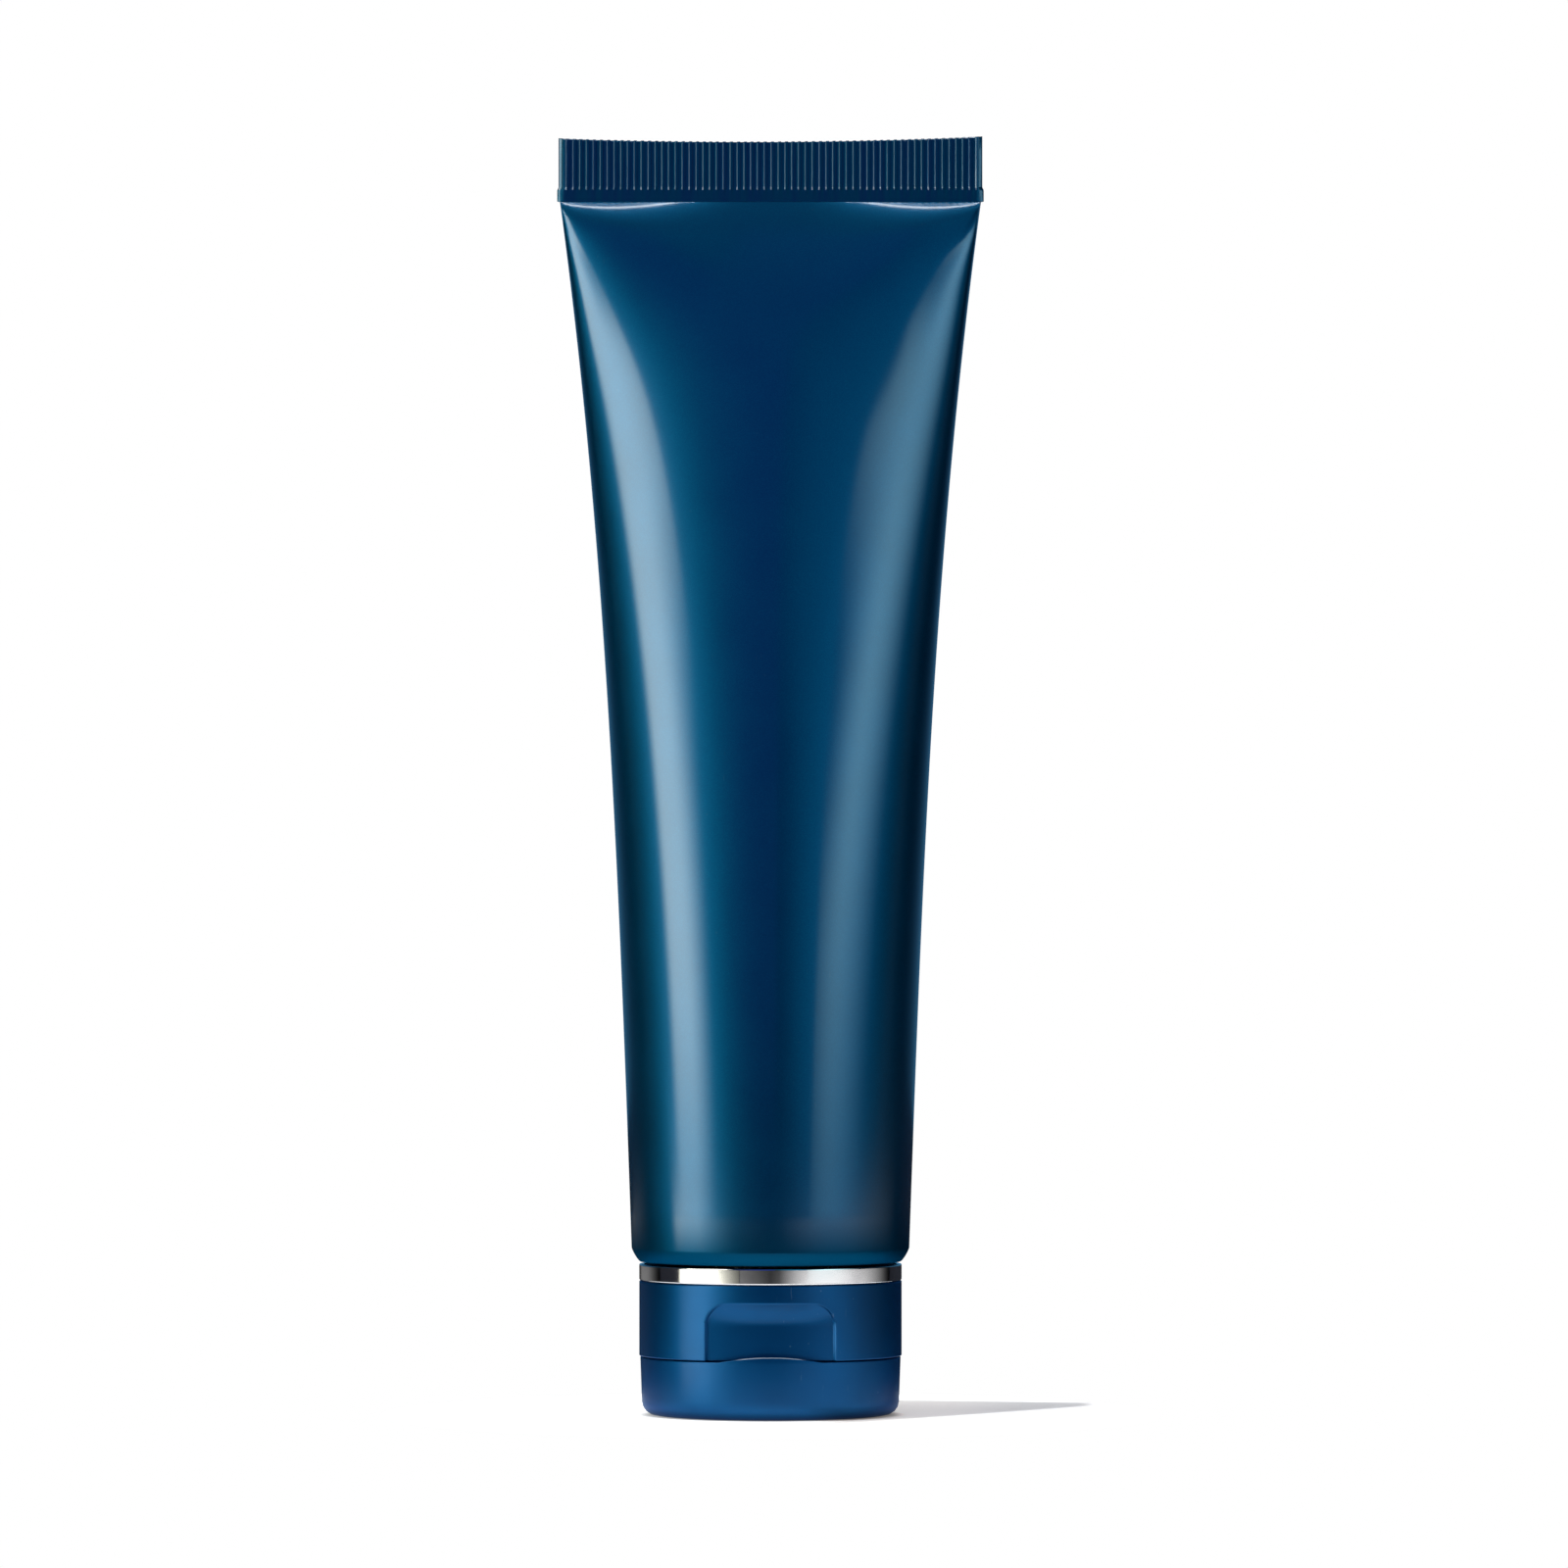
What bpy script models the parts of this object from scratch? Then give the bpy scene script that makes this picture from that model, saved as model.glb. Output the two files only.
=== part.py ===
"""Shaving cream tube that stands on its flip-top cap, modelled in metres with +Z up.

The origin is the centre of the lid's standing face. The tube rises along +Z to its end seal,
and the thumb recess of the cap faces -Y, so the lid hinge is at +Y.
"""

from math import asin, cos, pi, radians, sin, sqrt, tau

import bmesh
import bpy
from mathutils import Matrix

# Tube sleeve
SLEEVE_DIAMETER = 0.0400
SLEEVE_WALL = 0.0005
SLEEVE_LENGTH = 0.1525
FOOT_CORNER_RADIUS = 0.0020
FOOT_LIP_WIDTH = 0.0015
FLARE_EVENNESS = 0.51
FULLNESS_POWER = 0.6
STRIP_ONSET_POWER = 6
STRIP_EDGE_RAMP = 4.0

# End seal, pressed flat from the sleeve: a plain land below a fluted strip
SEAL_THICKNESS = 0.0009
SEAL_SHRINKAGE = 0.0006
LAND_HEIGHT = 0.0020
LAND_OVERHANG = 0.0004
FLUTE_STRIP_HEIGHT = 0.0075
FLUTE_PITCH = 0.0010
FLUTE_DEPTH = 0.0003
FLUTE_RUNOUT = 0.0005
TOP_EDGE_DIP = 0.0006
FUSED_HEIGHT = 0.0023

# Shoulder and neck
SHOULDER_THICKNESS = 0.0016
SHOULDER_DROP = 0.0018
NECK_DIAMETER = 0.0152
NECK_WALL = 0.0020
THREAD_SPACE = 0.0010
THREAD_RUNOUT = 0.0031

# Cream
HEADSPACE_HEIGHT = 0.0160

# Cap body, which sits a little inside the foot of the sleeve all round
CAP_INSET = 0.0011
CAP_BODY_HEIGHT = 0.0107
SPIGOT_WALL = 0.0008
DECK_THICKNESS = 0.0017
EDGE_BREAK = 0.0002
COLLAR_WALL = 0.0014
COLLAR_RIB_COUNT = 8
COLLAR_RIB_THICKNESS = 0.0010
COLLAR_RIB_HEIGHT = 0.0040
ORIFICE_DIAMETER = 0.0052
NOZZLE_WALL = 0.0015
NOZZLE_HEIGHT = 0.0018

# Thumb recess in the front of the cap body
RECESS_WIDTH = 0.0189
RECESS_TOP_MARGIN = 0.0025
RECESS_DEPTH = 0.0020
RECESS_CORNER_RADIUS = 0.0029
RECESS_SCOOP_HEIGHT = 0.0028

# Chrome band
BAND_HEIGHT = 0.0021
BAND_WALL = 0.0007
BAND_EDGE_RADIUS = 0.0003

# Flip lid
LID_STEP = 0.00015
LID_HEIGHT = 0.0083
LID_DRAFT = 0.0003
LID_FLOOR = 0.0016
LID_EDGE_RADIUS = 0.0019
PLUG_WALL = 0.0007
PLUG_CLEARANCE = 0.0004
LIP_WIDTH = 0.0125
LIP_RISE = 0.0006
LIP_SETBACK = 0.0002
LIP_ROOT_DEPTH = 0.0009
LIP_END_RUN = 0.0006

# Living hinge at the back
HINGE_FLAT_WALL = 0.0006
HINGE_POCKET_MARGIN = 0.0012
FILM_WIDTH = 0.0054
FILM_REACH = 0.0016
FILM_THICKNESS = 0.0004
FILM_WAIST_THICKNESS = 0.0002
STRAP_WIDTH = 0.0022
STRAP_WAIST_WIDTH = 0.0013
STRAP_REACH = 0.0030

# Clearances
SEAT_GAP = 0.0003
FOOT_GAP = 0.0004

# Roundness of the meshes
ROUND_STEPS = 48
ARC_STEPS = 4
LOFT_LEVELS = 12
SHARP_ANGLE = radians(35)

# Heights and radii that follow from the sizes above
SLEEVE_RADIUS = SLEEVE_DIAMETER / 2
FOOT_OPENING_RADIUS = SLEEVE_RADIUS - FOOT_CORNER_RADIUS - FOOT_LIP_WIDTH
CONE_RADIUS = FOOT_OPENING_RADIUS - SEAT_GAP
CAP_DIAMETER = SLEEVE_DIAMETER - 2 * CAP_INSET
CAP_RADIUS = CAP_DIAMETER / 2
SPIGOT_RADIUS = CAP_RADIUS - BAND_WALL - SEAT_GAP
CAP_INNER_RADIUS = SPIGOT_RADIUS - SPIGOT_WALL
CAP_WALL = CAP_RADIUS - CAP_INNER_RADIUS
LID_RADIUS = CAP_RADIUS - LID_STEP
NECK_RADIUS = NECK_DIAMETER / 2
NECK_BORE_RADIUS = NECK_RADIUS - NECK_WALL
ORIFICE_RADIUS = ORIFICE_DIAMETER / 2
CAP_FLOOR_Z = LID_HEIGHT + SEAT_GAP
PARTING_Z = LID_HEIGHT + SEAT_GAP / 2
DECK_TOP_Z = CAP_FLOOR_Z + DECK_THICKNESS
BAND_SEAT_Z = CAP_FLOOR_Z + CAP_BODY_HEIGHT
BAND_BOTTOM_Z = BAND_SEAT_Z + SEAT_GAP
CAP_TOP_Z = BAND_BOTTOM_Z + BAND_HEIGHT
FOOT_Z = CAP_TOP_Z + FOOT_GAP
SLEEVE_START_Z = FOOT_Z + FOOT_CORNER_RADIUS
LAND_Z = FOOT_Z + SLEEVE_LENGTH
TAPER_LENGTH = LAND_Z - SLEEVE_START_Z
FLUTE_Z = LAND_Z + LAND_HEIGHT
SEAL_TOP_Z = FLUTE_Z + FLUTE_STRIP_HEIGHT
SHOULDER_Z = FOOT_Z + SLEEVE_WALL + SEAT_GAP
SHOULDER_TOP_Z = SHOULDER_Z + SHOULDER_THICKNESS
NECK_MOUTH_Z = DECK_TOP_Z + SEAT_GAP
NECK_ROOT_Z = SHOULDER_Z - SHOULDER_DROP
RECESS_TOP_Z = BAND_SEAT_Z - RECESS_TOP_MARGIN
SEAL_HALF_WIDTH = (pi * (SLEEVE_DIAMETER - SLEEVE_WALL) / 2 - SEAL_SHRINKAGE) / 2
SEAL_HALF_THICKNESS = SEAL_THICKNESS / 2
COLLAR_BORE_RADIUS = NECK_RADIUS + THREAD_SPACE
HINGE_FLAT_Y = CAP_INNER_RADIUS + HINGE_FLAT_WALL
HINGE_Y = HINGE_FLAT_Y + SEAT_GAP + FILM_THICKNESS / 2
HINGE_POCKET_REACH = STRAP_REACH + HINGE_POCKET_MARGIN


# Scene and material helpers


def clear_scene():
    for obj in list(bpy.data.objects):
        bpy.data.objects.remove(obj, do_unlink=True)


def material(name, colour, metallic, roughness):
    made = bpy.data.materials.new(name)
    made.use_nodes = True
    shader = made.node_tree.nodes["Principled BSDF"]
    shader.inputs["Base Color"].default_value = (*colour, 1.0)
    shader.inputs["Metallic"].default_value = metallic
    shader.inputs["Roughness"].default_value = roughness
    return made


def shade(mesh):
    mesh.shade_smooth()
    mesh.set_sharp_from_angle(angle=SHARP_ANGLE)


def solid(name, bm, finish, carrier=None):
    """Turns a bmesh into a named object, carried by an empty on its joint's axis."""
    bmesh.ops.recalc_face_normals(bm, faces=bm.faces)
    mesh = bpy.data.meshes.new(name)
    bm.to_mesh(mesh)
    bm.free()
    shade(mesh)
    obj = bpy.data.objects.new(name, mesh)
    bpy.context.collection.objects.link(obj)
    if finish:
        mesh.materials.append(finish)
    if carrier:
        obj.parent = carrier
        obj.matrix_parent_inverse = Matrix.Translation(carrier.location).inverted()
    return obj


def axis_empty(name, location):
    empty = bpy.data.objects.new(name, None)
    empty.location = location
    empty.empty_display_size = SLEEVE_RADIUS / 4
    bpy.context.collection.objects.link(empty)
    return empty


def helper(name, bm, carrier=None):
    """A tool shape for a Boolean, left out of the finished part."""
    tool = solid(name, bm, None, carrier)
    tool.hide_render = True
    tool.display_type = "WIRE"
    return tool


def boolean(obj, tool, operation):
    """Joins or cuts with a tool shape, keeps the result as the mesh and drops the tool."""
    step = obj.modifiers.new(tool.name, "BOOLEAN")
    step.operation = operation
    step.solver = "EXACT"
    step.object = tool
    evaluated = obj.evaluated_get(bpy.context.evaluated_depsgraph_get())
    obj.data = bpy.data.meshes.new_from_object(evaluated)
    obj.modifiers.clear()
    shade(obj.data)
    bpy.data.objects.remove(tool, do_unlink=True)


# Shape helpers


def arc(centre, radius, start_deg, stop_deg, steps=ARC_STEPS):
    """Points on an arc in a profile plane, both ends included."""
    turns = [radians(start_deg + (stop_deg - start_deg) * i / steps) for i in range(steps + 1)]
    return [(centre[0] + radius * cos(a), centre[1] + radius * sin(a)) for a in turns]


def turned(profile, closed=True):
    """A full turn of a (radius, height) profile; an open one starts and ends on the axis."""
    bm = bmesh.new()
    points = [bm.verts.new((r, 0, z)) for r, z in profile]
    pairs = list(zip(points, points[1:]))
    if closed:
        pairs.append((points[-1], points[0]))
    edges = [bm.edges.new(pair) for pair in pairs]
    bmesh.ops.spin(
        bm,
        geom=points + edges,
        axis=(0, 0, 1),
        cent=(0, 0, 0),
        angle=tau,
        steps=ROUND_STEPS,
        use_merge=True,
    )
    bmesh.ops.remove_doubles(bm, verts=bm.verts, dist=1e-6)
    return bm


def lofted(rings, cap_first=True, cap_last=True):
    """Closed rings of equal length joined in order, with flat ends where asked."""
    bm = bmesh.new()
    loops = [[bm.verts.new(point) for point in ring] for ring in rings]
    for lower, upper in zip(loops, loops[1:]):
        count = len(lower)
        for i in range(count):
            j = (i + 1) % count
            bm.faces.new((lower[i], lower[j], upper[j], upper[i]))
    if cap_first:
        bm.faces.new(loops[0][::-1])
    if cap_last:
        bm.faces.new(loops[-1])
    return bm


def extruded(outline, low, high, place):
    """A flat outline drawn between two depths; place(u, v, depth) puts a point in space."""
    return lofted([[place(u, v, depth) for u, v in outline] for depth in (low, high)])


def block(low, high):
    outline = [(low[0], low[1]), (high[0], low[1]), (high[0], high[1]), (low[0], high[1])]
    return extruded(outline, low[2], high[2], lambda u, v, depth: (u, v, depth))


# Sleeve form, shared by the sleeve and the cream inside it


def oval(half_width, half_depth, z, flat=0.0):
    """An ellipse, with flat as the half thickness of the pressed strip that it turns into."""
    points = []
    for i in range(ROUND_STEPS):
        a = tau * i / ROUND_STEPS
        strip = max(-1.0, min(1.0, STRIP_EDGE_RAMP * sin(a)))
        y = half_depth * sin(a) + flat * (strip - sin(a))
        points.append((half_width * cos(a), y, z))
    return points


def circle(radius, z):
    return oval(radius, radius, z)


def sleeve_ring(t, inset):
    """Cross-section at share t of the way from the round foot to the flat seal.

    The width grows almost evenly and then faster, as in a filled tube; the depth stays full
    for long and closes quickly just below the land.
    """
    end_half_width = SEAL_HALF_WIDTH - LAND_OVERHANG
    end_half_depth = SEAL_HALF_THICKNESS + SLEEVE_WALL / 2
    flare = FLARE_EVENNESS * t + (1 - FLARE_EVENNESS) * t**3
    fullness = (1 - t * t) ** FULLNESS_POWER
    half_width = SLEEVE_RADIUS + (end_half_width - SLEEVE_RADIUS) * flare
    half_depth = end_half_depth + (SLEEVE_RADIUS - end_half_depth) * fullness
    strip = end_half_depth * t**STRIP_ONSET_POWER
    return oval(half_width - inset, half_depth - inset, SLEEVE_START_Z + TAPER_LENGTH * t, strip)


def loft_shares(last):
    """Shares along the sleeve, closer together towards the seal, where it closes fastest."""
    return [last * sin(pi / 2 * i / LOFT_LEVELS) for i in range(LOFT_LEVELS + 1)]


def foot_rings(inset):
    """The turned-in foot from its opening round the corner, before the first loft ring."""
    low = FOOT_Z + inset
    corner = (SLEEVE_RADIUS - FOOT_CORNER_RADIUS, SLEEVE_START_Z)
    bend = arc(corner, FOOT_CORNER_RADIUS - inset, -90, 0)
    return [circle(FOOT_OPENING_RADIUS, low)] + [circle(r, z) for r, z in bend[:-1]]


# Pieces


def make_seal():
    """Land and fluted strip as one ribbon; both faces wave together, as between toothed jaws."""
    half_flutes = max(2, 2 * round(SEAL_HALF_WIDTH / FLUTE_PITCH))
    columns = [SEAL_HALF_WIDTH * i / half_flutes for i in range(-half_flutes, half_flutes + 1)]

    def row(z, wave, dip):
        front = []
        back = []
        for i, x in enumerate(columns):
            offset = wave * FLUTE_DEPTH / 2 * (-1) ** i
            level = z - dip * (1 - (x / SEAL_HALF_WIDTH) ** 2)
            front.append((x, offset - SEAL_HALF_THICKNESS, level))
            back.append((x, offset + SEAL_HALF_THICKNESS, level))
        return front + back[::-1]

    rows = [row(LAND_Z, 0, 0), row(FLUTE_Z, 0, 0)]
    rows.append(row(FLUTE_Z + FLUTE_RUNOUT, 1, 0))
    rows.append(row(SEAL_TOP_Z, 1, TOP_EDGE_DIP))
    bm = lofted(rows, cap_first=False, cap_last=False)
    bm.verts.ensure_lookup_table()
    ring = 2 * len(columns)
    for base in (0, ring * (len(rows) - 1)):
        for i in range(len(columns) - 1):
            corners = (i, i + 1, ring - 2 - i, ring - 1 - i)
            bm.faces.new([bm.verts[base + corner] for corner in corners])
    return helper("seal_ribbon", bm)


def make_sleeve(finish):
    """Thin film shell from the turned-in foot to the seal, open at the foot."""
    outer = foot_rings(0) + [sleeve_ring(t, 0) for t in loft_shares(1.0)]
    closing_z = LAND_Z + LAND_HEIGHT / 2
    outer.append(oval(SEAL_HALF_WIDTH - 2 * LAND_OVERHANG, SEAL_HALF_THICKNESS / 2, closing_z))
    fused_share = 1 - FUSED_HEIGHT / TAPER_LENGTH
    inner = foot_rings(SLEEVE_WALL)
    inner += [sleeve_ring(t, SLEEVE_WALL) for t in loft_shares(fused_share)]
    sleeve = solid("tube_sleeve", lofted(inner[::-1] + outer), finish)
    boolean(sleeve, make_seal(), "UNION")
    return sleeve


def make_shoulder(finish):
    """Plate, shallow cone and neck turned in one; the rim fits the inside of the foot corner."""
    rim_radius = SLEEVE_RADIUS - SLEEVE_WALL - SEAT_GAP
    bend_radius = FOOT_CORNER_RADIUS - SLEEVE_WALL - SEAT_GAP
    profile = [(NECK_BORE_RADIUS, NECK_MOUTH_Z), (NECK_RADIUS, NECK_MOUTH_Z)]
    profile += [(NECK_RADIUS, NECK_ROOT_Z), (CONE_RADIUS, SHOULDER_Z)]
    profile += arc((rim_radius - bend_radius, SHOULDER_Z + bend_radius), bend_radius, -90, 0)
    profile += [(rim_radius, SHOULDER_TOP_Z), (CONE_RADIUS, SHOULDER_TOP_Z)]
    profile += [(NECK_BORE_RADIUS, SHOULDER_TOP_Z - SHOULDER_DROP)]
    return solid("tube_shoulder", turned(profile), finish)


def make_cream(finish):
    """The fill: a stem in the neck that widens over the shoulder and follows the sleeve up."""
    stem_radius = NECK_BORE_RADIUS - SEAT_GAP
    inset = SLEEVE_WALL + SEAT_GAP
    floor_z = SHOULDER_TOP_Z + SEAT_GAP
    fill_share = 1 - HEADSPACE_HEIGHT / TAPER_LENGTH
    floor_share = max(0, (floor_z - SLEEVE_START_Z) / TAPER_LENGTH)
    shares = [floor_share] + [t for t in loft_shares(fill_share) if t > floor_share]
    rings = [circle(stem_radius, NECK_MOUTH_Z)]
    rings.append(circle(stem_radius, floor_z - SHOULDER_DROP))
    rings.append(circle(CONE_RADIUS, floor_z))
    rings += [sleeve_ring(t, inset) for t in shares]
    return solid("cream_fill", lofted(rings), finish)


def recess_cutter(carrier):
    """Front segment of the cap side with round upper corners, cut to an even depth.

    Its upper part runs out along a quarter round, so that the recess is scooped at the top.
    """
    half = RECESS_WIDTH / 2
    corner = RECESS_CORNER_RADIUS
    low_z = CAP_FLOOR_Z - SEAT_GAP
    scoop_z = RECESS_TOP_Z - RECESS_SCOOP_HEIGHT
    reach = CAP_RADIUS + RECESS_DEPTH
    quarter = arc((0, 0), 1, 0, 90, 2 * ARC_STEPS)
    profile = [(CAP_RADIUS - RECESS_DEPTH * u, scoop_z + RECESS_SCOOP_HEIGHT * v) for u, v in quarter]
    profile += [(reach, RECESS_TOP_Z), (reach, low_z), (CAP_RADIUS - RECESS_DEPTH, low_z)]
    ring = helper("recess_ring", turned(profile), carrier)
    outline = [(-half, low_z - SEAT_GAP), (half, low_z - SEAT_GAP)]
    outline += arc((half - corner, RECESS_TOP_Z - corner), corner, 0, 90)
    outline += arc((corner - half, RECESS_TOP_Z - corner), corner, 90, 180)
    front = extruded(outline, -CAP_DIAMETER, 0, lambda u, v, depth: (u, depth, v))
    cutter = helper("recess_cutter", front, carrier)
    boolean(cutter, ring, "INTERSECT")
    return cutter


def hinge_pocket(name, carrier):
    """Tool that cuts one flat across the backs of the cap body and the lid."""
    low = (-CAP_RADIUS, HINGE_FLAT_Y, PARTING_Z - HINGE_POCKET_REACH)
    high = (CAP_RADIUS, CAP_DIAMETER, PARTING_Z + HINGE_POCKET_REACH)
    return helper(name, block(low, high), carrier)


def make_cap_body(finish, carrier):
    """Skirt, deck, nozzle and threaded collar turned in one, then the recess and hinge flat."""
    collar_outer = COLLAR_BORE_RADIUS + COLLAR_WALL
    collar_top = NECK_ROOT_Z - THREAD_RUNOUT
    nozzle = ORIFICE_RADIUS + NOZZLE_WALL
    nozzle_z = CAP_FLOOR_Z - NOZZLE_HEIGHT
    side = CAP_RADIUS - EDGE_BREAK
    profile = [(SPIGOT_RADIUS, CAP_TOP_Z), (SPIGOT_RADIUS, BAND_SEAT_Z), (side, BAND_SEAT_Z)]
    profile += [(CAP_RADIUS, BAND_SEAT_Z - EDGE_BREAK), (CAP_RADIUS, CAP_FLOOR_Z + EDGE_BREAK)]
    profile += [(side, CAP_FLOOR_Z), (nozzle, CAP_FLOOR_Z), (nozzle, nozzle_z)]
    profile += [(ORIFICE_RADIUS, nozzle_z), (ORIFICE_RADIUS, DECK_TOP_Z)]
    profile += [(COLLAR_BORE_RADIUS, DECK_TOP_Z), (COLLAR_BORE_RADIUS, collar_top)]
    profile += [(collar_outer, collar_top), (collar_outer, DECK_TOP_Z)]
    profile += [(CAP_INNER_RADIUS, DECK_TOP_Z), (CAP_INNER_RADIUS, CAP_TOP_Z)]
    body = solid("cap_body", turned(profile), finish, carrier)
    boolean(body, make_collar_ribs(collar_outer, carrier), "UNION")
    boolean(body, make_recess_backing(carrier), "UNION")
    boolean(body, recess_cutter(carrier), "DIFFERENCE")
    boolean(body, hinge_pocket("cap_pocket_cutter", carrier), "DIFFERENCE")
    return body


def make_collar_ribs(collar_outer, carrier):
    """Upright webs between collar and skirt, standing on the deck."""
    bm = bmesh.new()
    sink = COLLAR_WALL / 2
    low = (collar_outer - sink, -COLLAR_RIB_THICKNESS / 2, DECK_TOP_Z - DECK_THICKNESS / 2)
    reach = CAP_INNER_RADIUS + SPIGOT_WALL / 2
    high = (reach, COLLAR_RIB_THICKNESS / 2, DECK_TOP_Z + COLLAR_RIB_HEIGHT)
    for i in range(COLLAR_RIB_COUNT):
        made = bmesh.ops.create_cube(bm, size=1)["verts"]
        size = [h - l for l, h in zip(low, high)]
        middle = [(h + l) / 2 for l, h in zip(low, high)]
        bmesh.ops.scale(bm, vec=size, verts=made)
        bmesh.ops.translate(bm, vec=middle, verts=made)
        turn = Matrix.Rotation(tau * (i + 0.5) / COLLAR_RIB_COUNT, 3, "Z")
        bmesh.ops.rotate(bm, cent=(0, 0, 0), matrix=turn, verts=made)
    return helper("collar_ribs", bm, carrier)


def make_recess_backing(carrier):
    """Inner wall that keeps the cap closed behind the thumb recess."""
    back_radius = CAP_RADIUS - RECESS_DEPTH - CAP_WALL
    half = RECESS_WIDTH / 2 + CAP_WALL
    spread = asin(half / CAP_RADIUS)
    low_z = CAP_FLOOR_Z + DECK_THICKNESS / 2
    high_z = RECESS_TOP_Z + RECESS_TOP_MARGIN / 2
    outer_radius = CAP_INNER_RADIUS + SPIGOT_WALL / 2
    steps = 3 * ARC_STEPS
    turns = [-spread + 2 * spread * i / steps for i in range(steps + 1)]
    outline = [(outer_radius * sin(a), -outer_radius * cos(a)) for a in turns]
    outline += [(back_radius * sin(a), -back_radius * cos(a)) for a in reversed(turns)]
    bm = extruded(outline, low_z, high_z, lambda u, v, depth: (u, v, depth))
    return helper("recess_backing", bm, carrier)


def make_band(finish, carrier):
    """Bright ring with softened outer edges, seated on the step at the top of the cap."""
    inner = CAP_RADIUS - BAND_WALL
    low = BAND_BOTTOM_Z
    high = low + BAND_HEIGHT
    edge = BAND_EDGE_RADIUS
    profile = [(inner, high)]
    profile += arc((CAP_RADIUS - edge, high - edge), edge, 90, 0, 2)
    profile += arc((CAP_RADIUS - edge, low + edge), edge, 0, -90, 2)
    profile += [(inner, low)]
    return solid("chrome_band", turned(profile), finish, carrier)


def make_lid(finish, carrier):
    """Cup with draft, a rounded standing edge and a hollow plug for the spout."""
    inner = CAP_INNER_RADIUS
    base = LID_RADIUS - LID_DRAFT
    edge = LID_EDGE_RADIUS
    inner_edge = edge / 2
    plug = ORIFICE_RADIUS - PLUG_CLEARANCE
    plug_bore = plug - PLUG_WALL
    plug_tip = DECK_TOP_Z - SEAT_GAP
    profile = [(0, LID_FLOOR), (plug_bore, LID_FLOOR), (plug_bore, plug_tip)]
    profile += [(plug - PLUG_WALL / 2, plug_tip), (plug, plug_tip - PLUG_WALL), (plug, LID_FLOOR)]
    profile += arc((inner - inner_edge, LID_FLOOR + inner_edge), inner_edge, -90, 0)
    profile += [(inner, LID_HEIGHT), (LID_RADIUS - EDGE_BREAK, LID_HEIGHT)]
    profile += [(LID_RADIUS, LID_HEIGHT - EDGE_BREAK)]
    profile += arc((base - edge, edge), edge, 0, -90)
    profile += [(0, 0)]
    lid = solid("flip_lid", turned(profile, closed=False), finish, carrier)
    boolean(lid, make_lip(carrier), "UNION")
    boolean(lid, hinge_pocket("lid_pocket_cutter", carrier), "DIFFERENCE")
    return lid


def make_lip(carrier):
    """Low arched thumb lip on the front rim of the lid, standing inside the recess."""
    outer = LID_RADIUS - LIP_SETBACK
    inner = max(CAP_RADIUS - RECESS_DEPTH, CAP_INNER_RADIUS) + SEAT_GAP
    half = LIP_WIDTH / 2
    arch_radius = (half**2 + LIP_RISE**2) / (2 * LIP_RISE)
    root = LID_HEIGHT - LIP_ROOT_DEPTH
    run = half + LIP_END_RUN
    steps = 3 * ARC_STEPS
    rings = []
    for i in range(steps + 1):
        x = run * (2 * i / steps - 1)
        crest = LID_HEIGHT + LIP_RISE - arch_radius + sqrt(arch_radius**2 - x * x)
        front = -sqrt(outer**2 - x * x)
        back = -sqrt(inner**2 - x * x)
        rings.append([(x, front, root), (x, back, root), (x, back, crest), (x, front, crest)])
    return helper("lid_lip", lofted(rings), carrier)


def make_hinge(finish, carrier):
    """Film with a thin waist on the axis, and a waisted snap strap on each side of it."""
    face = HINGE_FLAT_Y + SEAT_GAP
    crest = face + FILM_THICKNESS
    waist = HINGE_Y + FILM_WAIST_THICKNESS / 2
    dent = HINGE_Y - FILM_WAIST_THICKNESS / 2
    low = PARTING_Z - FILM_REACH
    high = PARTING_Z + FILM_REACH
    outline = [(face, low), (crest, low), (waist, PARTING_Z), (crest, high)]
    outline += [(face, high), (dent, PARTING_Z)]
    half = FILM_WIDTH / 2
    film = extruded(outline, -half, half, lambda u, v, depth: (depth, u, v))
    solid("hinge_film", film, finish, carrier)
    middle = half + SEAT_GAP + STRAP_WIDTH / 2
    for side, name in ((-1, "hinge_strap_left"), (1, "hinge_strap_right")):
        centre = side * middle
        wide = STRAP_WIDTH / 2
        slim = STRAP_WAIST_WIDTH / 2
        bottom = PARTING_Z - STRAP_REACH
        top = PARTING_Z + STRAP_REACH
        sheet = [(centre - wide, bottom), (centre + wide, bottom), (centre + slim, PARTING_Z)]
        sheet += [(centre + wide, top), (centre - wide, top), (centre - slim, PARTING_Z)]
        strap = extruded(sheet, face, crest, lambda u, v, depth: (u, depth, v))
        solid(name, strap, finish, carrier)


def build():
    clear_scene()
    lacquer = material("sleeve_lacquer", (0.004, 0.030, 0.085), 0.6, 0.32)
    natural = material("natural_plastic", (0.86, 0.86, 0.82), 0.0, 0.45)
    cream = material("shaving_cream", (0.93, 0.93, 0.90), 0.0, 0.50)
    blue = material("cap_plastic", (0.004, 0.045, 0.140), 0.0, 0.34)
    chrome = material("bright_chrome", (0.80, 0.80, 0.82), 1.0, 0.06)
    cap_axis = axis_empty("cap_screw_axis", (0, 0, DECK_TOP_Z))
    lid_axis = axis_empty("lid_hinge_axis", (0, HINGE_Y, PARTING_Z))
    make_sleeve(lacquer)
    make_shoulder(natural)
    make_cream(cream)
    make_cap_body(blue, cap_axis)
    make_band(chrome, cap_axis)
    make_lid(blue, lid_axis)
    make_hinge(blue, lid_axis)


build()
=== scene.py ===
"""Looks of a shaving cream tube that stands on its flip-top cap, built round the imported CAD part.

All places are in metres in the CAD frame: +Z runs up the tube, and the cap's thumb recess faces -Y.
"""

from math import atan2, cos, hypot, pi, radians, sin, sqrt, tau

import bmesh
import bpy
from mathutils import Matrix, Vector


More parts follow.
